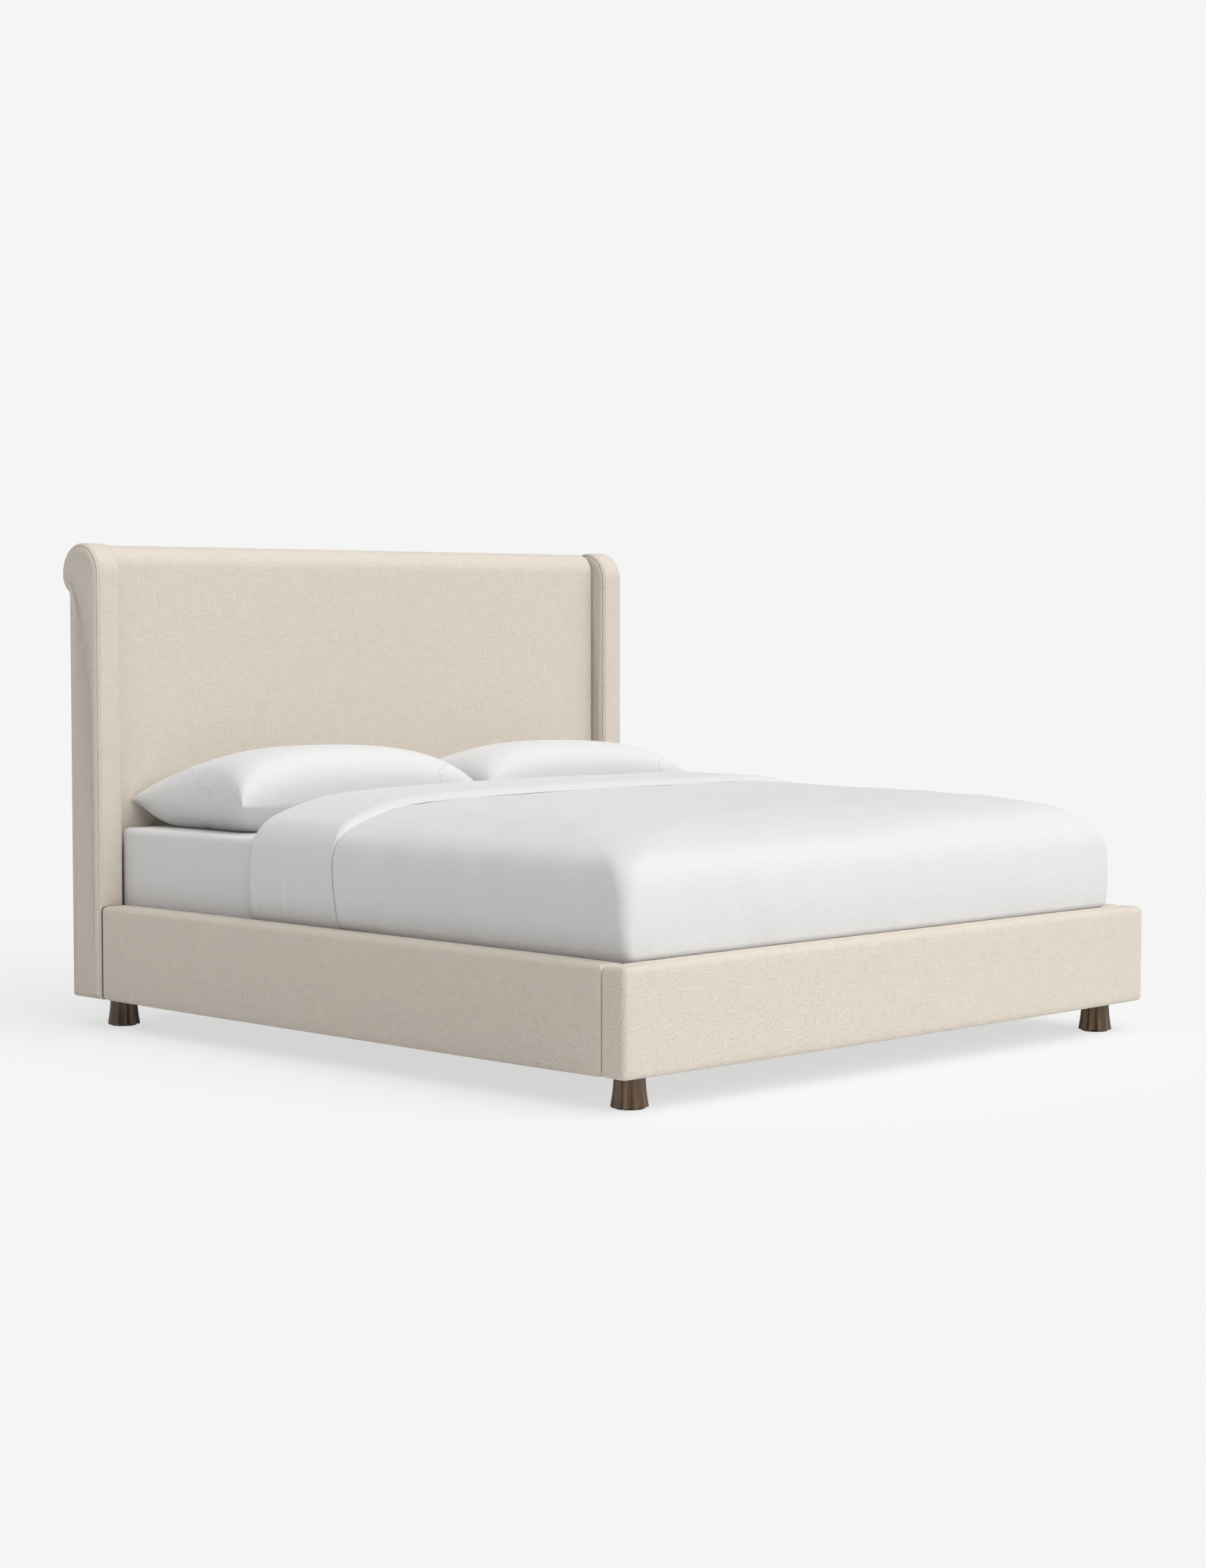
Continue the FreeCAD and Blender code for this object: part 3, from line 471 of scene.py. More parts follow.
def covered_board(name, cad, ending, low, high, corners, across, along, swelling, sign=1):
    """The cloth of a padded board, and the wadding 2.5 mm under it with the same soft edges."""
    for inside, kind, finish, slot in ((0.0, "cover", LINEN, "linen"), (2.5 * MM, "foam", FOAM, "foam")):
        shrink = Vector((inside, inside, inside))
        patches = upright_pad(low + shrink, high - shrink, corners, TOP_RADIUS, across, along, swelling)
        full_name = name if kind == "cover" else name + "_wadding"
        piece = piece_from(full_name, mirrored(patches, sign), finish, "frame")
        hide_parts(f"{cad}_{kind}{ending}")


for side, sign in (("left", -1), ("right", 1)):
    low, high = RAIL_LOW + Vector((0, SEAM_GAP, 0)), RAIL_HIGH - Vector((0, WING_GAP, 0))
    covered_board(f"side_rail_{side}", "rail", f"_{side}", low, high, [SEAM_RADIUS] * 4, 24, 96,
                  RAIL_SWELL, sign)
corners = (SEAM_RADIUS, FREE_RADIUS, FREE_RADIUS, SEAM_RADIUS)
covered_board("footboard", "footboard", "", FOOT_LOW, FOOT_HIGH - Vector((0, SEAM_GAP, 0)), corners,
              120, 24, FOOT_SWELL)


# %% Dark felt in the joints at the wings, as painted shade
# The felt is painted shade: a dark strip in the gap between rail and wing that stands in for its shadow.
recess = 1.5 * MM
outline = rounded_ring(np.array([IN_X, RAIL_LOW.z]) + recess, np.array([OUT_X, RAIL_TOP]) - recess,
                       [TOP_RADIUS - recess] * 4, 20, 20)
rings = np.array([np.column_stack([outline[:, 0], np.full(len(outline), place), outline[:, 1]])
                  for place in np.linspace(RAIL_HIGH.y - WING_GAP - 1 * MM, WING_LOW.y + 1 * MM, 5)])
for side, sign in (("left", -1), ("right", 1)):
    piece_from(f"joint_painted_shade_{side}", mirrored(pad_patches(rings, 20, 20), sign), PAINTED_SHADE_FELT, "frame")


# %% [markdown]
# ## Scroll outline
# Seen from the side, a wing is a tall board whose top rolls backwards: a straight front, a round roll, a
# curve under the roll, a short hollow neck and a flat back. Moving the outline inwards keeps the centre of
# every arc and changes only its radius, so the same function gives all the outlines of a rounded edge.

# %% Scroll outline
def scroll_ring(front, back, crest, radius, under, neck, bottom, inset, across, along):
    """Outline as (y, z), from low on the front up to the roll, down the back and along the underside.

    Sides are the front with an eighth of the roll, a quarter of the roll on top, the back with the last
    eighth, the curve under it and the neck, and the underside.
    """
    corner = 8 * MM
    roll_y, roll_z = front + radius, crest - radius
    front, back, bottom = front + inset, back - inset, bottom + inset
    roll, under, neck = radius - inset, under - inset, neck + inset
    rear = roll_y + roll
    turn = math.acos((under + neck - (rear - back)) / (under + neck))
    neck_z = roll_z - (under + neck) * math.sin(turn)
    corner = max(corner - inset, 0.2 * MM)

    def arc(centre, reach, first, last, steps):
        angle = np.linspace(first, last, steps + 1)
        return np.array(centre) + reach * np.stack([np.cos(angle), np.sin(angle)], axis=-1)

    def straight(first, last, steps):
        share = np.linspace(0, 1, steps + 1)[:, None]
        return np.array(first) * (1 - share) + np.array(last) * share

    steps, eighth, pi = CORNER_STEPS // 2, 12, math.pi
    low_front = (front + corner, bottom + corner)
    low_back = (back - corner, bottom + corner)
    rise = along - steps - eighth
    fall = along - steps - 3 * eighth
    parts = [
        arc(low_front, corner, 1.25 * pi, pi, steps),
        straight((front, bottom + corner), (front, roll_z), rise),
        arc((roll_y, roll_z), roll, pi, 0.75 * pi, eighth),
        arc((roll_y, roll_z), roll, 0.75 * pi, 0.25 * pi, across),
        arc((roll_y, roll_z), roll, 0.25 * pi, 0, eighth),
        arc((rear - under, roll_z), under, 0, -turn, eighth),
        arc((back + neck, neck_z), neck, pi - turn, pi, eighth),
        straight((back, neck_z), (back, bottom + corner), fall),
        arc(low_back, corner, 0, -0.25 * pi, steps),
        arc(low_back, corner, -0.25 * pi, -0.5 * pi, steps),
        straight((back - corner, bottom), (front + corner, bottom), across - 2 * steps),
        arc(low_front, corner, 1.5 * pi, 1.25 * pi, steps),
    ]
    return np.concatenate([part[:-1] for part in parts])


def scroll_rings(places, insets, across, along, **shape):
    """Scroll outlines stacked along X: one for each place with its inset."""
    rings = []
    for place, inset in zip(places, insets):
        flat = scroll_ring(inset=inset, across=across, along=along, **shape)
        rings.append(np.column_stack([np.full(len(flat), place), flat]))
    return np.array(rings)


# %% [markdown]
# ## Wings
# Each wing is two flat side panels and a border strip that follows the scroll. The panels round in towards
# plain seams, and the strip rises a little between them. A line of stitches runs beside each seam.

# %% Wings
WING_SHAPE = {"front": WING_LOW.y, "back": WING_LOW.y + 142 * MM, "crest": WING_HIGH.z,
              "radius": (WING_HIGH.y - WING_LOW.y) / 2, "under": 60 * MM, "neck": 14 * MM,
              "bottom": WING_LOW.z}
PROUD = 6 * MM
wing_width = WING_HIGH.x + PROUD - WING_LOW.x
HALF_WIDTH = wing_width / MM / 2
# Half a wing from its side panel to the middle of the strip: distance from the side, and inset, in mm.
SIDE_PANEL = np.array([(0, 26), (0.06, 22.5), (0.5, 18.5), (1.4, 15), (2.7, 12.6), (4.2, 10.8), (6.2, 9.8)])
STRIP_EDGE = np.array([(6.2, 9.8), (5.2, 8.6), (4.9, 6.8), (5.6, 5.0), (6.8, 3.9), (8.4, 3.7)])
STRIP = np.array([(8.4, 3.7), (9.4, 2.4), (12, 1.3), (17, 0.5), (27, 0.05), (HALF_WIDTH, 0)])
FOAM_EDGE = np.array([(2.6, 30), (4.2, 21), (7.5, 14.5), (9.0, 10), (11, 7), (15, 4), (24, 2.6),
                      (HALF_WIDTH, 2.4)])


def wing_profile(parts, width):
    """Places across a wing and insets there, from curves that run to its middle and back again."""
    half = np.concatenate([smooth_curve(part, count)[:-1] for part, count in parts] + [parts[-1][0][-1:]]) * MM
    places = np.concatenate([half[:, 0], width - half[-2::-1, 0]])
    return places, np.concatenate([half[:, 1], half[-2::-1, 1]])


def wing_patches(parts):
    """Scroll outlines across a wing, closed by two flat side panels."""
    places, insets = wing_profile(parts, wing_width)
    rings = scroll_rings(WING_LOW.x + places, insets, 16, 96, **WING_SHAPE)
    return pad_patches(rings, 16, 96)


cover_patches = wing_patches([(SIDE_PANEL, 12), (STRIP_EDGE, 14), (STRIP, 22)])
foam_patches = wing_patches([(FOAM_EDGE, 24)])
for side, sign in (("left", -1), ("right", 1)):
    wing = piece_from(f"wing_{side}", mirrored(cover_patches, sign), LINEN, "frame")
    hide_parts(f"wing_cover_{side}")
    filling = piece_from(f"wing_wadding_{side}", mirrored(foam_patches, sign), FOAM, "frame")
    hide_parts(f"wing_foam_{side}")
print("wing width in mm:", round(wing_width / MM))


# %% [markdown]
# ## Stitches
# A topstitch is a row of short raised dashes. One dash is a tube of thread with rounded ends, so a row is that
# tube repeated along a path, turned each time to the path's direction and sunk a little into the cloth.

# %% Stitches along a path
def stitches(path, outward, pitch, length, thick):
    """Patches of small capsules along a path: one every pitch, as long as length, with their axis on the path.

    A capsule is a ring of six points carried along its axis, whose radius is thick times the root of 1 - s^2
    near its ends.
    """
    walked = running_length(path, 0)
    middle = np.arange(pitch, walked[-1] - pitch, pitch)
    centre = np.column_stack([np.interp(middle, walked, column) for column in path.T])
    ahead = np.column_stack([np.interp(middle + pitch / 4, walked, column) for column in path.T]) - centre
    ahead /= np.linalg.norm(ahead, axis=1, keepdims=True)
    up = np.column_stack([np.interp(middle, walked, column) for column in outward.T])
    up -= ahead * np.sum(ahead * up, axis=1, keepdims=True)
    up /= np.linalg.norm(up, axis=1, keepdims=True)
    beside = np.cross(ahead, up)
    turn = np.linspace(0, 2 * math.pi, 7)[None, None, :, None]
    along = np.array([-1, -0.86, -0.5, 0.5, 0.86, 1])[None, :, None, None]
    reach = thick * np.sqrt(np.clip(1 - along ** 6, 0, 1))
    points = (centre[:, None, None] + ahead[:, None, None] * along * length / 2
              + reach * (up[:, None, None] * np.sin(turn) + beside[:, None, None] * np.cos(turn)))
    return [with_uv(dash) for dash in points]


def wing_seam(place, inset):
    """Path of a topstitch on the border strip, from low on the front over the roll to the neck."""
    ring = scroll_rings([place], [inset], 16, 96, **WING_SHAPE)[0][6:168]
    step = np.gradient(ring, axis=0)
    outward = np.column_stack([np.zeros(len(ring)), -step[:, 2], step[:, 1]])
    return ring, outward / np.linalg.norm(outward, axis=1, keepdims=True)


for side, sign in (("left", -1), ("right", 1)):
    dashes = []
    for place in (WING_LOW.x + 11.5 * MM, WING_LOW.x + wing_width - 11.5 * MM):
        path, outward = wing_seam(place, 1.3 * MM)
        dashes += stitches(path, outward, 5 * MM, 3.6 * MM, 0.55 * MM)
    piece_from(f"wing_topstitch_{side}", mirrored(dashes, sign), THREAD, "frame")
    print("stitches on one wing:", len(dashes))


# %% [markdown]
# ## Headboard
# The panel between the wings is set back from their fronts and rolls over in the same way, a little lower.
# Its foam makes the face swell by a few millimetres, and its ends tuck in beside the wings.

# %% Headboard
PANEL_SHAPE = {"front": PANEL_LOW.y, "back": WING_SHAPE["back"] - 2 * MM, "crest": PANEL_HIGH.z,
               "radius": (PANEL_HIGH.y - PANEL_LOW.y) / 2, "under": 45 * MM, "neck": 14 * MM,
               "bottom": PANEL_LOW.z}


def headboard_patches(inside, steps):
    """Scroll outlines from end to end of the panel, moved inwards all round by a distance.

    The smaller Y of the swollen and the plain surface is kept, so the front swells and the back stays flat.
    """
    travel, inset = quarter_round(9 * MM, CORNER_STEPS)
    end = IN_X - 2 * MM - inside
    places = np.concatenate([travel - end, np.linspace(travel[-1] - end, end - travel[-1], steps)[1:-1],
                             end - travel[::-1]])
    insets = np.concatenate([inset, np.zeros(steps - 2), inset[::-1]]) + inside
    rings = scroll_rings(places, insets, 16, 96, **PANEL_SHAPE)
    patches = []
    for surface, uv in pad_patches(rings, 16, 96):
        full = swell(surface, PANEL_LOW, PANEL_HIGH, (0, 4 * MM, 0))
        patches.append((np.minimum(full, surface), uv))
    return patches


for name, inside, steps, kind, finish, slot in (("headboard", 0.0, 98, "cover", LINEN, "linen"),
                                                ("headboard_wadding", 2.5 * MM, 40, "foam", FOAM, "foam")):
    piece = piece_from(name, headboard_patches(inside, steps), finish, "frame")
    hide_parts(f"headboard_{kind}")

board_low, board_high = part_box("headboard_back_panel")
board_high.y += 1.5 * MM
patches = upright_pad(board_low, board_high, [1.5 * MM] * 4, 2 * MM, 96, 14, (0, 0, 0))
back_board = piece_from("headboard_back_board", patches, BACKING, "frame")
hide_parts("headboard_back_panel")


# %% [markdown]
# ## Fluted legs
# A leg is turned to a flared outline and then fluted: ten soft hollows with a rounded ridge between
# neighbours. In polar form its radius is the outline's radius minus half the flute depth times one minus the
# cosine of ten times the angle. The bottom rim is eased by a small radius.

# %% Legs
FLUTES = 10
FLUTE_DEPTH = (11 * MM, 6.5 * MM)
RIM = 3 * MM


def fluted_leg(centre, bottom, top, first_crest):
    """Rings of a fluted leg: radius 38.5 mm at the top, 41 at half height and 47 at the bottom."""
    travel, inset = quarter_round(RIM, CORNER_STEPS)
    heights = np.concatenate([travel, np.linspace(RIM, top - bottom, 40)[1:]])
    insets = np.concatenate([inset, np.zeros(39)])
    share = heights / (top - bottom)
    outline = (47 - 15.5 * share + 7 * share ** 2) * MM - insets
    angle = np.linspace(0, 2 * math.pi, 241)[:-1] + first_crest
    depth = FLUTE_DEPTH[0] + (FLUTE_DEPTH[1] - FLUTE_DEPTH[0]) * share
    reach = outline[:, None] - depth[:, None] * (1 - np.cos(FLUTES * (angle - first_crest))) / 2
    return np.stack([centre[0] + reach * np.cos(angle), centre[1] + reach * np.sin(angle),
                     np.broadcast_to((bottom + heights)[:, None], reach.shape)], axis=-1)


for name, crest in (("front_left", 63), ("front_right", 303), ("back_left", 63), ("back_right", 303)):
    low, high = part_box(f"leg_{name}")
    rings = fluted_leg((low + high) / 2, low.z, high.z, math.radians(crest))
    leg = piece_from(f"fluted_leg_{name}", pad_patches(rings, 60, 60), WALNUT, "frame")
    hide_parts(f"leg_{name}")


# %% [markdown]
# ## Mattress and fitted sheet
# The mattress is a rounded block with a knitted cover and a taped edge. The fitted sheet is one layer of
# cloth stretched over it, sewn at the corners and held by elastic near the underside.

# %% Mattress
RIM_RADIUS = 18 * MM
CORNER = 70 * MM
HEAD_CORNER = 12 * MM
CORNERS = (HEAD_CORNER, CORNER, CORNER, HEAD_CORNER)
patches = upright_pad(MATTRESS_LOW, MATTRESS_HIGH, CORNERS, RIM_RADIUS, 60, 60, (0, 0, 0))
mattress = piece_from("mattress_in_ticking", patches, TICKING, "mattress")
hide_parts("mattress")


# %% Fitted sheet
def noise_waves(points, seed, count, shortest, longest):
    """Soft unevenness: a sum of sine waves in random directions, scaled to run from about -1 to 1."""
    random = np.random.default_rng(seed)
    total = np.zeros(points.shape[:-1])
    for _ in range(count):
        direction = random.normal(size=3)
        length = random.uniform(shortest, longest)
        direction *= 2 * math.pi / length / np.linalg.norm(direction)
        total += np.sin(points @ direction + random.uniform(0, 2 * math.pi))
    return total / math.sqrt(count)


low = np.array(SHEET_LOW)
low[2] = MATTRESS_LOW.z - (SHEET_HIGH.z - MATTRESS_HIGH.z)
rings = upright_rings(low, SHEET_HIGH, np.array(CORNERS) + 1.7 * MM, RIM_RADIUS + 1.7 * MM, 96, 96, steps=30)
rings = rings[rings[:, 0, 2] > SHEET_LOW.z - 1 * MM]
centre = (np.array(SHEET_LOW) + np.array(SHEET_HIGH)) / 2
sheet_patches = []
for surface, uv in pad_patches(rings, 96, 96, ends=(False, True)):
    outward = (surface - centre) / np.linalg.norm(surface - centre, axis=-1, keepdims=True)
    ripple = 0.5 * MM * noise_waves(surface * np.array([1, 1, 0.35]), 3, 10, 0.06, 0.25)
    sheet_patches.append((surface + outward * (ripple[..., None] + 0.3 * MM), uv))
fitted = piece_from("fitted_sheet_cotton", sheet_patches, COTTON, "mattress")
cloth = fitted.modifiers.new("cloth", "SOLIDIFY")
cloth.thickness = 0.5 * MM
cloth.offset = -1
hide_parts("fitted_sheet")


# %% [markdown]
# ## Duvet
# The duvet lies over the mattress like a shallow dome: tucked between mattress and rails on three sides, it
# bulges just over the rails, rounds into large soft shoulders and rises slowly to its crown. Its outlines
# are open at the head end, so each one is a U. The radius of the foot corners grows as the outlines move in.

# %% Section across the bed
# Half a section, as distance inside the rail and height over the fitted sheet, in mm.
SECTION = np.array([(1.0, -279), (1.0, -222), (-6, -205), (-12, -160), (-13, -110), (-11, -62), (-6, -28),
                    (7, 3), (34, 28), (83, 50), (171, 72), (281, 88), (451, 97), (560, 99)])
CREST_RAISE = 4 * MM
HEAD_Y = DUVET_HIGH.y
LIP_Y = 14.5 * MM
ARC_STEPS = 12
LEG_STEPS, FOOT_STEPS = 90, 96
U_ALONG, U_ACROSS = LEG_STEPS + ARC_STEPS // 2, FOOT_STEPS + ARC_STEPS


FAR_SIDE = np.array([(-13, 0), (14, 1), (40, 12), (83, 24), (171, 22), (281, 12), (451, 4), (560, 2)])
FAR_SIDE = smooth_curve(FAR_SIDE, 200) * MM


def crown_rise(inset, x, y):
    """Height added to the section: up to 8 mm towards the head end, and a fuller right-hand shoulder."""
    crown = 8 * MM * smooth_step((y - FOOT_IN_Y) / (HEAD_Y - FOOT_IN_Y)) * smooth_step(inset / 0.35)
    fullness = smooth_step((x / IN_X + 0.3) / 1.1) * (0.6 + 0.4 * smooth_step((y - FOOT_IN_Y) / 0.6))
    return crown + np.interp(inset, *FAR_SIDE.T) * fullness


outer = smooth_curve(SECTION, 90) * MM
OUTER_INSET, OUTER_Z = outer[:, 0], SHEET_TOP + outer[:, 1]
print("duvet section points:", len(outer))


# %% U-shaped outlines
def u_outline(half_width, foot_y, radii, head_y):
    """Outline from above, open at the head: down the left side, round the foot and up the right side."""
    turn = np.linspace(0, math.pi / 2, ARC_STEPS + 1)
    sides = []
    for sign, radius in zip((-1, 1), radii):
        leg_y = np.concatenate([np.linspace(head_y, LIP_Y + 34 * MM, 11)[:-1],
                                np.linspace(LIP_Y + 34 * MM, LIP_Y - 36 * MM, 25)[:-1],
                                np.linspace(LIP_Y - 36 * MM, foot_y + radius, LEG_STEPS - 33)])
        leg = np.column_stack([np.full(LEG_STEPS + 1, half_width), leg_y])
        bend = np.column_stack([half_width - radius * (1 - np.cos(turn)),
                                foot_y + radius * (1 - np.sin(turn))])
        sides.append(np.concatenate([leg, bend[1:]]) * np.array([sign, 1]))
    foot = np.column_stack([np.linspace(sides[0][-1, 0], sides[1][-1, 0], FOOT_STEPS + 1)[1:-1],
                            np.full(FOOT_STEPS - 1, foot_y)])
    return np.concatenate([sides[0], foot, sides[1][::-1]])


def u_rings(half_width, foot_y, insets, heights, radii, rise=None):
    """Stack of U outlines, each moved in by its inset and lifted to its height."""
    rings = []
    for inset, height, corners in zip(insets, heights, radii):
        flat = u_outline(half_width - inset, foot_y + inset, corners, HEAD_Y)
        lift = np.zeros(len(flat)) if rise is None else rise(inset, *flat.T)
        rings.append(np.column_stack([flat, height + lift]))
    return np.array(rings)


def u_cap(ring, raised):
    """Patch inside a U, closed by a row across its head end that is raised in the middle."""
    share = np.linspace(0, 1, U_ACROSS + 1)[:, None]
    row = ring[-1] * (1 - share) + ring[0] * share
    row[:, 2] += raised * (1 - (2 * share[:, 0] - 1) ** 2)
    return fill(np.concatenate([ring[:-1], row[:-1]]), U_ACROSS, U_ALONG)


def head_edge(rings, cap):
    """Outline across the head end of a U-shaped surface, from the left tuck to the right one."""
    return np.concatenate([rings[:, 0], cap[0, 1:-1], rings[::-1, -1]])


def turned_edge(first, second, reach, steps):
    """Rounded edge between two outlines: a half ellipse from one to the other that reaches towards the head."""
    turn = np.linspace(0, math.pi, steps + 1)[:, None, None]
    middle, half = (first + second) / 2, (first - second) / 2
    towards = np.zeros_like(first)
    towards[:, 1] = reach
    return middle + half * np.cos(turn) + towards * np.sin(turn)


def on_mattress(x, z, grow):
    """Nearest points on the mattress's section grown by a distance, as inset from its side and height."""
    radius = RIM_RADIUS + grow
    inner_x, inner_z = MATTRESS_HIGH.x - RIM_RADIUS, MATTRESS_HIGH.z - RIM_RADIUS
    core_x, core_z = np.minimum(x, inner_x), np.minimum(z, inner_z)
    away = np.hypot(x - core_x, z - core_z)
    near_x, near_z = core_x + radius * (x - core_x) / away, core_z + radius * (z - core_z) / away
    return MATTRESS_HIGH.x + grow - near_x, near_z


def tray(grow):
    """U-shaped layer around the mattress at a distance, with points that match those of the duvet's outside."""
    insets, heights = on_mattress(IN_X - OUTER_INSET, OUTER_Z, grow)
    radii = np.maximum(CORNER + grow - insets, 12 * MM)
    radii = np.stack([radii, radii], axis=-1)
    rings = u_rings(MATTRESS_HIGH.x + grow, MATTRESS_LOW.y - grow, insets, heights, radii)
    return rings, u_cap(rings[-1], 0.0)


# %% Duvet surface
reach_in = OUTER_INSET + 13 * MM
climb = np.clip(OUTER_Z - RAIL_TOP, 0, 200 * MM)
radii = np.stack([14 * MM + 0.12 * climb + 0.75 * reach_in, 20 * MM + 0.4 * reach_in], axis=-1)
outer_rings = u_rings(IN_X, FOOT_IN_Y, OUTER_INSET, OUTER_Z, radii, crown_rise)
outer_cap = u_cap(outer_rings[-1], CREST_RAISE)
inner_rings, inner_cap = tray(4.5 * MM)


def lip_place(height, inset):
    """Y of the band's loose edge: it leans back from the rail to the shoulder and on to the crown."""
    return (LIP_Y - 14 * MM + 22 * MM * smooth_step(height / (200 * MM))
            + 22 * MM * smooth_step(inset / (250 * MM)))


def puffed(rings):
    """Fullness of the filling: it swells beside the band's edge and over the footboard, and folds at the rails.

    Points move along the surface's normal, which is the outward direction of the outline turned by the slope
    of the section.
    """
    step = np.gradient(np.column_stack([OUTER_INSET, OUTER_Z]), axis=0)
    step /= np.linalg.norm(step, axis=1, keepdims=True)
    along = np.gradient(rings[..., :2], axis=1)
    along /= np.linalg.norm(along, axis=-1, keepdims=True)
    outward = np.stack([along[..., 1], -along[..., 0]], axis=-1)
    height, inset = rings[..., 2] - RAIL_TOP, OUTER_INSET[:, None]
    past = lip_place(height, inset) - 4 * MM - rings[..., 1]
    beside = smooth_step(height / (30 * MM)) * (1 - smooth_step((inset - 5 * MM) / (60 * MM)))
    bulge = 8 * MM * beside * smooth_step(past / (5 * MM)) * np.exp(-(past / (160 * MM)) ** 2)
    soft = 1.6 * MM * noise_waves(rings, 11, 14, 0.12, 0.40) * smooth_step(height / (60 * MM))
    soft *= 1 - smooth_step((inset - 330 * MM) / (180 * MM))
    near_rail = smooth_step(height / (8 * MM)) * np.exp(-(height / (42 * MM)) ** 2)
    folds = 1.3 * MM * near_rail * noise_waves(rings * np.array([1, 1, 0.1]), 12, 12, 0.025, 0.09)
    reach = (bulge + soft + folds) * smooth_step((HEAD_Y - 20 * MM - rings[..., 1]) / (60 * MM))
    at_foot = np.clip(-outward[..., 1], 0, 1) ** 2
    over_board = at_foot * np.clip(inset + 12.5 * MM, 0, 14 * MM) * smooth_step(height / (5 * MM))
    over_board *= 1 - smooth_step((height - 60 * MM) / (30 * MM))
    moved = rings.copy()
    moved[..., :2] += outward * (reach * step[:, 1, None] + over_board)[..., None]
    moved[..., 2] += reach * step[:, 0, None]
    return moved


outside, inside = head_edge(outer_rings, outer_cap), head_edge(inner_rings, inner_cap)
ends = np.minimum(np.arange(len(outside)), np.arange(len(outside))[::-1])
head_roll = turned_edge(outside, inside, 8 * MM * smooth_step(ends / 12), 12)
turn = np.linspace(0, math.pi, 13)[:, None, None]
underside = ((outer_rings[0] + inner_rings[0]) / 2 + (outer_rings[0] - inner_rings[0]) / 2 * np.cos(turn))
duvet_patches = [with_uv(part) for part in
                 (puffed(outer_rings), outer_cap, inner_rings, inner_cap, head_roll, underside)]
duvet = piece_from("duvet_in_cotton_cover", duvet_patches, DUVET_COTTON, "bedding")
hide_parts("duvet")


# %% [markdown]
# ## Flat sheet
# The flat sheet lies under the duvet, and its head end is folded back over it as a band. The fold rolls round
# the end of the duvet as half an ellipse. The band lies on the duvet with some fullness: about 16 mm proud on
# the top and 5 mm at the sides, and its loose edge rounds down to the duvet.

# %% Flat sheet
def duvet_section(y):
    """Outer outline of the duvet across the bed, from the left tuck to the right one, with a Y for each."""
    sides = []
    count = len(OUTER_Z)
    for sign, place in ((-1, y[:count]), (1, y[-count:][::-1])):
        x = sign * (IN_X - OUTER_INSET)
        sides.append(np.column_stack([x, place, OUTER_Z + crown_rise(OUTER_INSET, x, place)]))
    left, right = sides[0], sides[1][::-1]
    share = np.linspace(0, 1, U_ACROSS + 1)[1:-1, None]
    top = left[-1] * (1 - share) + right[0] * share
    top[:, 1] = y[count:-count]
    fade = 1 - (HEAD_Y - top[:, 1]) / (HEAD_Y - FOOT_IN_Y - OUTER_INSET[-1])
    top[:, 2] += CREST_RAISE * fade * (1 - (2 * share[:, 0] - 1) ** 2)
    return np.concatenate([left, top, right])


def over_duvet(y, share):
    """The duvet's outline moved outwards by a share of the band's fullness, with two creases over the rail."""
    base = duvet_section(y)
    step = np.gradient(base[:, [0, 2]], axis=0)
    step /= np.linalg.norm(step, axis=1, keepdims=True)
    inset = IN_X - np.abs(base[:, 0])
    off_rail = smooth_step((base[:, 2] - RAIL_TOP) / (50 * MM))
    proud = 0.4 * MM + off_rail * (4.6 * MM + 11 * MM * smooth_step((inset + 10 * MM) / (70 * MM)))
    ripple = 1.3 * MM * off_rail * np.exp(-(base[:, 2] - RAIL_TOP) / (55 * MM))
    crease = np.exp(-((y - 218 * MM) / (9 * MM)) ** 2) + np.exp(-((y - 160 * MM) / (7 * MM)) ** 2)
    crease *= smooth_step((base[:, 2] - RAIL_TOP - 10 * MM) / (30 * MM))
    crease *= 1.6 * MM * (1 - smooth_step((base[:, 2] - RAIL_TOP - 80 * MM) / (60 * MM)))
    reach = share * (proud + crease + ripple * np.sin(2 * math.pi * y / (42 * MM)))
    moved = base.copy()
    moved[:, 0] -= step[:, 1] * reach
    moved[:, 2] += step[:, 0] * reach
    return moved, proud


layer_rings, layer_cap = tray(3.2 * MM)
under = head_edge(layer_rings, layer_cap)
over, proud = over_duvet(np.full(len(under), HEAD_Y), 1.0)
inset = IN_X - np.abs(over[:, 0])
fold_reach = 15 * MM + 33 * MM * smooth_step((inset - 20 * MM) / (330 * MM))
fold = turned_edge(over, under, fold_reach, 18)
height = over[:, 2] - RAIL_TOP
lip_y = lip_place(height, inset)
lip_width = (2.5 * MM + 24 * MM * smooth_step((inset + 4 * MM) / (50 * MM))
             + 35 * MM * smooth_step(inset / (350 * MM)))
softness = 0.5 + 0.9 * smooth_step((inset - 60 * MM) / (300 * MM))
rows = []
for share in np.linspace(0, 1, 90):
    rows.append(over_duvet(HEAD_Y + (lip_y + lip_width - HEAD_Y) * share, 1.0)[0])
for share in np.sin(np.linspace(0, math.pi / 2, 13))[1:]:
    rows.append(over_duvet(lip_y + lip_width * (1 - share), 0.02 + 0.98 * (1 - share ** 2) ** softness)[0])
sheet_parts = (layer_rings, layer_cap, fold, np.array(rows))
flat_sheet = piece_from("flat_sheet_turned_down", [with_uv(part) for part in sheet_parts], COTTON, "bedding")
cloth = flat_sheet.modifiers.new("cloth", "SOLIDIFY")
cloth.thickness = 0.8 * MM
cloth.offset = 0
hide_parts("flat_sheet")


# %% [markdown]
# ## Pillows
# A pillow is two pieces of cloth sewn round the edge and filled, so its thickness falls to nothing at the
# seam and its sides pull in between the corners. It has slumped, and is fullest on the side towards the foot.
# A short cloth simulation lets air pressure settle the cover into its own creases. The case has a wide hem.

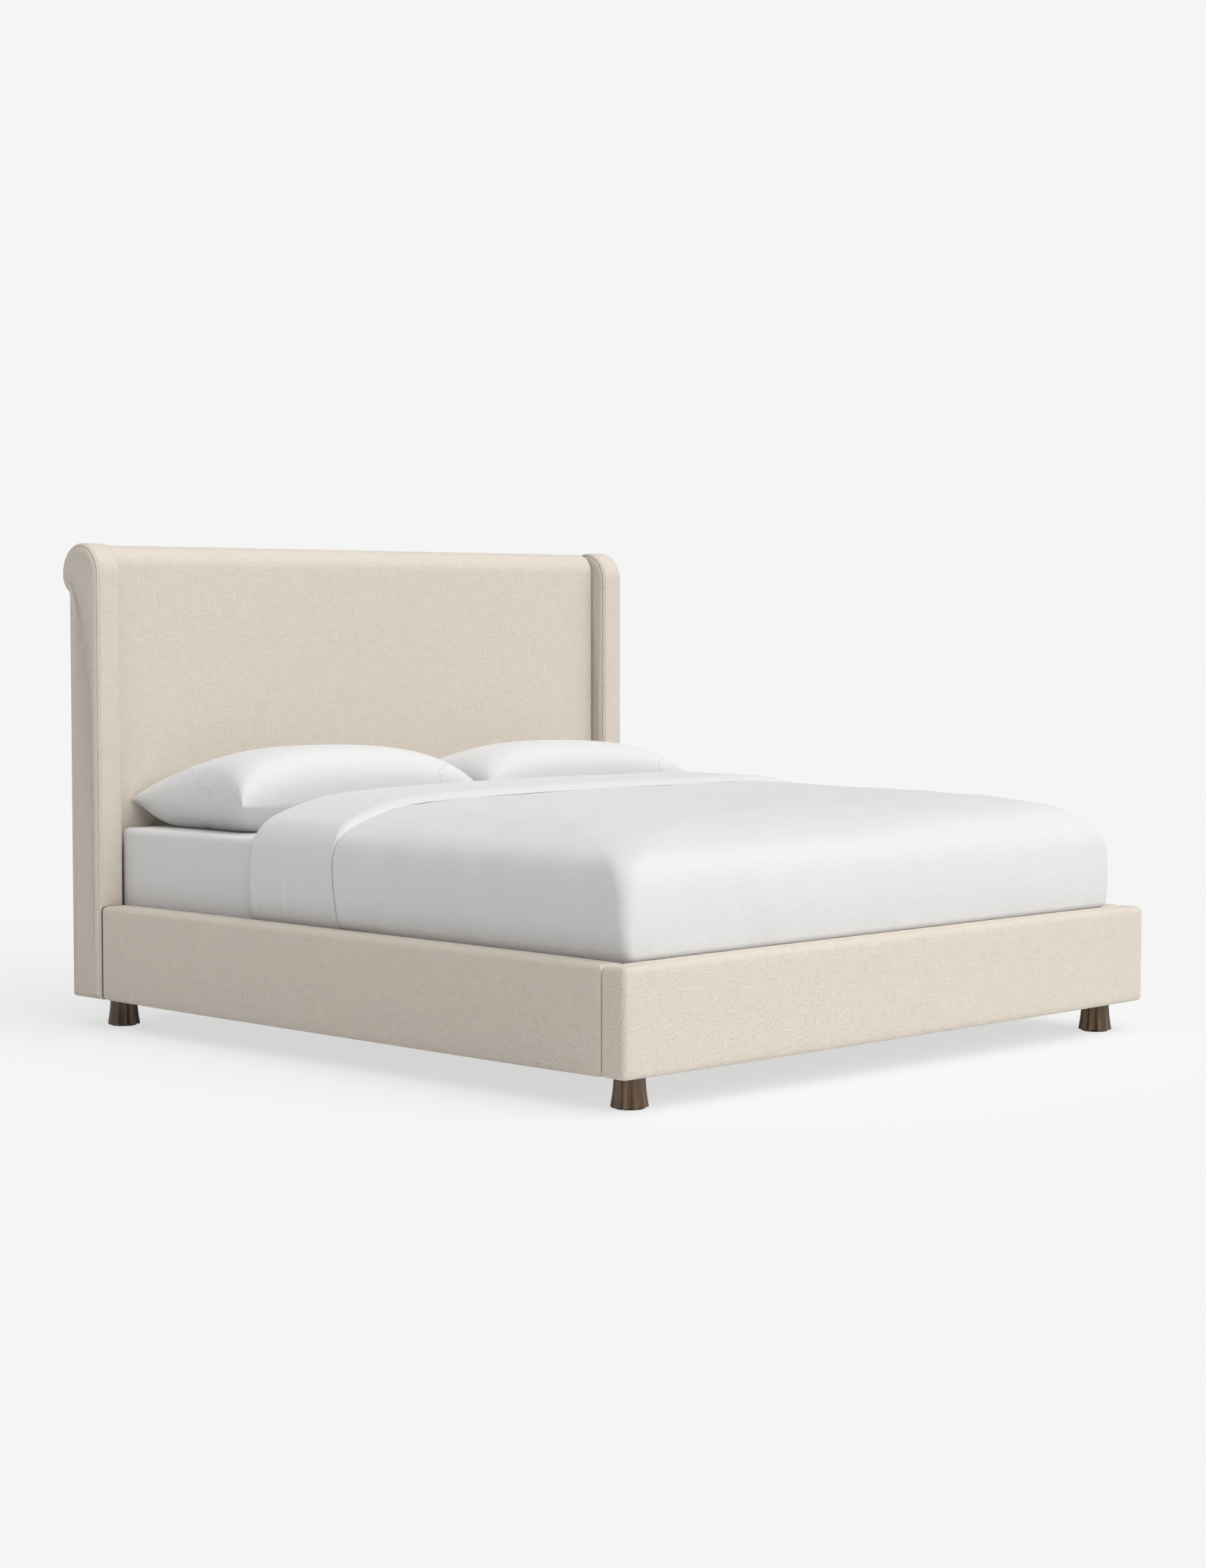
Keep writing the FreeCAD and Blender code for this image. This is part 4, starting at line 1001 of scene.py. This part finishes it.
# %% Pillow surface
PILLOW_LOW, PILLOW_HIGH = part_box("pillowcase_right")
SEAM_Z = 648.3 * MM
SEAM_FIN = 2.0 * MM
CREST = 151 * MM
PILLOW_GRID = (79, 131)
HEM_COLUMN = 9


def pillow_patches(side, scale):
    """Top and underside over a grid with u and v from -1 to 1.

    With p = u + 0.2 (1 - u^2) and q = v + 0.4 (1 - v^2), which move the crest off the middle, the top is
    (1 - |p|^a)^0.35 (1 - |q|^2.3)^0.39 high, with a running from 2 at one end to 3.1 at the other.
    """
    v, u = (np.sign(t) * (1 - (1 - np.abs(t)) ** 1.25) for t in (np.linspace(-1, 1, n) for n in PILLOW_GRID))
    u, v = np.broadcast_arrays(u[None, :], v[:, None])
    half = (PILLOW_HIGH - PILLOW_LOW) / 2
    middle = (PILLOW_HIGH + PILLOW_LOW) / 2
    x = side * middle.x + scale * half.x * u * (1 - 0.04 * (1 - v ** 2) * np.abs(u) ** 3)
    y = middle.y + scale * half.y * v * (1 - 0.07 * (1 - u ** 2) * np.abs(v) ** 3)
    x = x + scale * SEAM_FIN * np.sign(u) * (np.abs(u) ** 240 - 1)
    y = y + scale * SEAM_FIN * np.sign(v) * (np.abs(v) ** 240 - 1)
    p, q = np.clip(u + 0.2 * (1 - u ** 2), -1, 1), np.clip(v + 0.4 * (1 - v ** 2), -1, 1)
    lift = (1 - np.abs(p) ** (2.55 + 0.55 * np.tanh(3 * p))) ** 0.35 * (1 - np.abs(q) ** 2.3) ** 0.39
    top = SEAM_Z + scale * CREST * lift
    full = np.clip(1.1 * (1 - np.abs(u) ** 10) * (1 - np.abs(v) ** 6), 0, 1) ** 0.8
    belly = SEAM_Z - scale * (SEAM_Z - PILLOW_LOW.z - 0.5 * MM) * full
    return [np.stack([x, y, height], axis=-1) for height in (top, belly)]


# %% Cloth simulation
def settle(piece, pressure, cap):
    """Inflates the cover for 20 frames without gravity and keeps the result, with each move capped.

    A move of length d becomes cap times the hyperbolic tangent of d / cap.
    """
    mesh = piece.data
    before = np.empty(len(mesh.vertices) * 3)
    mesh.vertices.foreach_get("co", before)
    before = before.reshape(-1, 3)
    cloth = piece.modifiers.new("cloth", "CLOTH")
    cloth.settings.quality = 5
    cloth.settings.mass = 0.2
    cloth.settings.tension_stiffness = 12
    cloth.settings.compression_stiffness = 12
    cloth.settings.shear_stiffness = 4
    cloth.settings.bending_stiffness = 0.3
    cloth.settings.shrink_min = -0.02
    cloth.settings.use_pressure = True
    cloth.settings.uniform_pressure_force = pressure
    cloth.settings.effector_weights.gravity = 0
    cloth.point_cache.frame_start = 1
    cloth.point_cache.frame_end = 20
    for number in range(1, 21):
        bpy.context.scene.frame_set(number)
    result = piece.evaluated_get(bpy.context.evaluated_depsgraph_get()).data
    after = np.empty(len(before) * 3)
    result.vertices.foreach_get("co", after)
    piece.modifiers.remove(cloth)
    bpy.context.scene.frame_set(1)
    moved = after.reshape(-1, 3) - before
    length = np.linalg.norm(moved, axis=1, keepdims=True)
    moved *= cap * np.tanh(length / cap) / np.maximum(length, 1e-9)
    settled = before + moved
    settled[:, 2] = np.maximum(settled[:, 2], SHEET_TOP + 0.6 * MM)
    mesh.vertices.foreach_set("co", settled.ravel())
    mesh.update()
    print(f"{piece.name}: moved by up to {np.linalg.norm(moved, axis=1).max() / MM:.1f} mm")


def sharpen_seam(piece):
    """Creases the edges of the seam, so that the subdivision leaves them sharp."""
    row, column = np.divmod(np.arange(PILLOW_GRID[0] * PILLOW_GRID[1]), PILLOW_GRID[1])
    rim = np.zeros(len(piece.data.vertices), dtype=bool)
    rim[:len(row)] = (row % (PILLOW_GRID[0] - 1) == 0) | (column % (PILLOW_GRID[1] - 1) == 0)
    ends = np.empty(len(piece.data.edges) * 2, dtype=int)
    piece.data.edges.foreach_get("vertices", ends)
    sharp = rim[ends].reshape(-1, 2).all(axis=1).astype(float)
    piece.data.attributes.new("crease_edge", "FLOAT", "EDGE").data.foreach_set("value", sharp)
    print("seam edges:", int(sharp.sum()))


# %% Pillows with cases
for side, sign in (("left", -1), ("right", 1)):
    for name, scale, finish, slot in (("pillowcase", 0.995, COTTON, "white_cotton"),
                                      ("pillow_filling", 0.95, TICKING, "down")):
        parts = pillow_patches(sign, scale)
        piece = piece_from(f"{name}_{side}_soft", [with_uv(part) for part in parts], finish,
                           f"pillow_{side}")
        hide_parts(f"pillowcase_{side}" if name == "pillowcase" else f"pillow_{side}")
        if name == "pillowcase":
            settle(piece, 4.0, 7 * MM)
            sharpen_seam(piece)
            smooth = piece.modifiers.new("smooth", "SUBSURF")
            smooth.levels = smooth.render_levels = 1
            case = piece
    surface = np.empty(len(case.data.vertices) * 3)
    case.data.vertices.foreach_get("co", surface)
    surface = surface.reshape(-1, 3)
    normals = np.empty(len(case.data.vertices) * 3)
    case.data.vertices.foreach_get("normal", normals)
    count, column = PILLOW_GRID[1], HEM_COLUMN
    hem = np.arange(1, PILLOW_GRID[0] - 1) * count + column
    # The hem's stitches take the greyer thread, which paints the shade along the stitched line.
    dashes = stitches(surface[hem], normals.reshape(-1, 3)[hem], 3.6 * MM, 2.8 * MM, 0.7 * MM)
    piece_from(f"pillow_hem_stitch_{side}", dashes, THREAD_PAINTED_SHADE, f"pillow_{side}")
    print("stitches in one hem:", len(dashes))


# %% [markdown]
# ## Finishes of the construction
# Every other piece of the construction keeps its shape and takes a finish by its slot. Pine boards take the
# grain that runs along them.

# %% Finishes by slot
FINISHES = {"linen": LINEN, "foam": FOAM, "timber": TIMBER, "pine": PINE_Y, "dark_wood": WALNUT,
            "steel": STEEL, "zinc": ZINC, "glide": NYLON, "backing": BACKING, "mattress": TICKING,
            "white_cotton": COTTON, "down": TICKING}
PINE_GRAIN = (PINE_X, PINE_Y, PINE_Z)
for part in frame["record"]["subparts"]:
    node, slot = NODES[part["node"]], part["material_slot"]
    finish = FINISHES[slot]
    if slot == "pine":
        low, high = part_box(part["node"])
        finish = PINE_GRAIN[int(np.argmax(high - low))]
    for holder in node.material_slots:
        holder.material = finish


# %% [markdown]
# ## Studio
# A pale floor, one broad key light from the front and above and an even sky. The sky's light and its colour
# seen directly are set apart, so that the backdrop is the same pale grey as the lit floor.

# %% Floor, light and sky
def seen_directly(tree):
    """Node that is 1 for rays from the camera, off gloss or through glass, and 0 for light that bounces."""
    rays = add(tree, "LightPath")
    seen = add(tree, "Math", {0: rays.outputs["Is Camera Ray"], 1: rays.outputs["Is Glossy Ray"]},
               operation="MAXIMUM")
    return add(tree, "Math", {0: seen.outputs[0], 1: rays.outputs["Is Transmission Ray"]},
               operation="MAXIMUM")


bpy.ops.mesh.primitive_plane_add(size=160)
floor = bpy.context.object
floor.name = "studio_floor"
paper = bpy.data.materials.new("matt_backdrop_paper")
paper.use_nodes = True
tree = paper.node_tree
tree.nodes.clear()
SHADOWLESS = 0.65  # glow of the floor as seen, so that it matches the backdrop where it is lit
seen = seen_directly(tree)
colour = add(tree, "Mix", {0: seen.outputs[0], 6: (0.92, 0.92, 0.92, 1), 7: (0.254, 0.254, 0.254, 1)},
             data_type="RGBA")
paint = add(tree, "BsdfDiffuse", {"Color": colour.outputs[2]})
level = add(tree, "Math", {0: seen.outputs[0], 1: SHADOWLESS}, operation="MULTIPLY")
glow = add(tree, "Emission", {"Color": (1, 1, 1, 1), "Strength": level.outputs[0]})
both = add(tree, "AddShader", {0: paint.outputs[0], 1: glow.outputs[0]})
add(tree, "OutputMaterial", {"Surface": both.outputs[0]})
floor.data.materials.append(paper)
floor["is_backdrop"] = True


def sun(name, towards, strength, width):
    """A sun that shines from a direction; width is its angle in degrees, and a wide one throws soft shadows."""
    lamp = bpy.data.lights.new(name, "SUN")
    lamp.energy = strength
    lamp.angle = math.radians(width)
    lamp.color = (1.0, 1.0, 1.0)
    holder = bpy.data.objects.new(name, lamp)
    holder.rotation_euler = Vector(towards).to_track_quat("Z", "Y").to_euler()
    bpy.context.scene.collection.objects.link(holder)
    holder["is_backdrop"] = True
    return holder


sun("key_light", (0.12, -0.55, 0.826), 3.10, 90)

world = bpy.data.worlds.new("studio")
bpy.context.scene.world = world
world.use_nodes = True
tree = world.node_tree
tree.nodes.clear()
seen = seen_directly(tree)
lighting = add(tree, "Background", {"Color": (0.22, 0.22, 0.22, 1), "Strength": 1.0})
backdrop = add(tree, "Background", {"Color": linear("F5F5F5"), "Strength": 1.0})
chosen = add(tree, "MixShader", {0: seen.outputs[0], 1: lighting.outputs[0], 2: backdrop.outputs[0]})
add(tree, "OutputWorld", {"Surface": chosen.outputs[0]})


# %% [markdown]
# ## Camera
# The view is from the front left at about the height of the headboard, through a long lens. It looks down by
# about three degrees, so upright edges stay nearly upright.

# %% Camera and view settings
lens = bpy.data.cameras.new("camera")
lens.sensor_width = 36.0
lens.lens = 67.85
lens.clip_end = 500.0
camera = bpy.data.objects.new("camera", lens)
camera.location = (-5.9552, -5.9825, 1.1781)
camera.rotation_euler = Vector((0.70492, 0.70702, -0.05675)).to_track_quat("-Z", "Y").to_euler()
bpy.context.scene.collection.objects.link(camera)
bpy.context.scene.camera = camera
bpy.context.scene.view_settings.view_transform = "Standard"


visual_box = [list(corner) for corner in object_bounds()]
for name, value in (("construction", CAD_BOX), ("model", visual_box)):
    print(name, "in mm:", [round((high - low) / MM, 1) for low, high in zip(*value)])
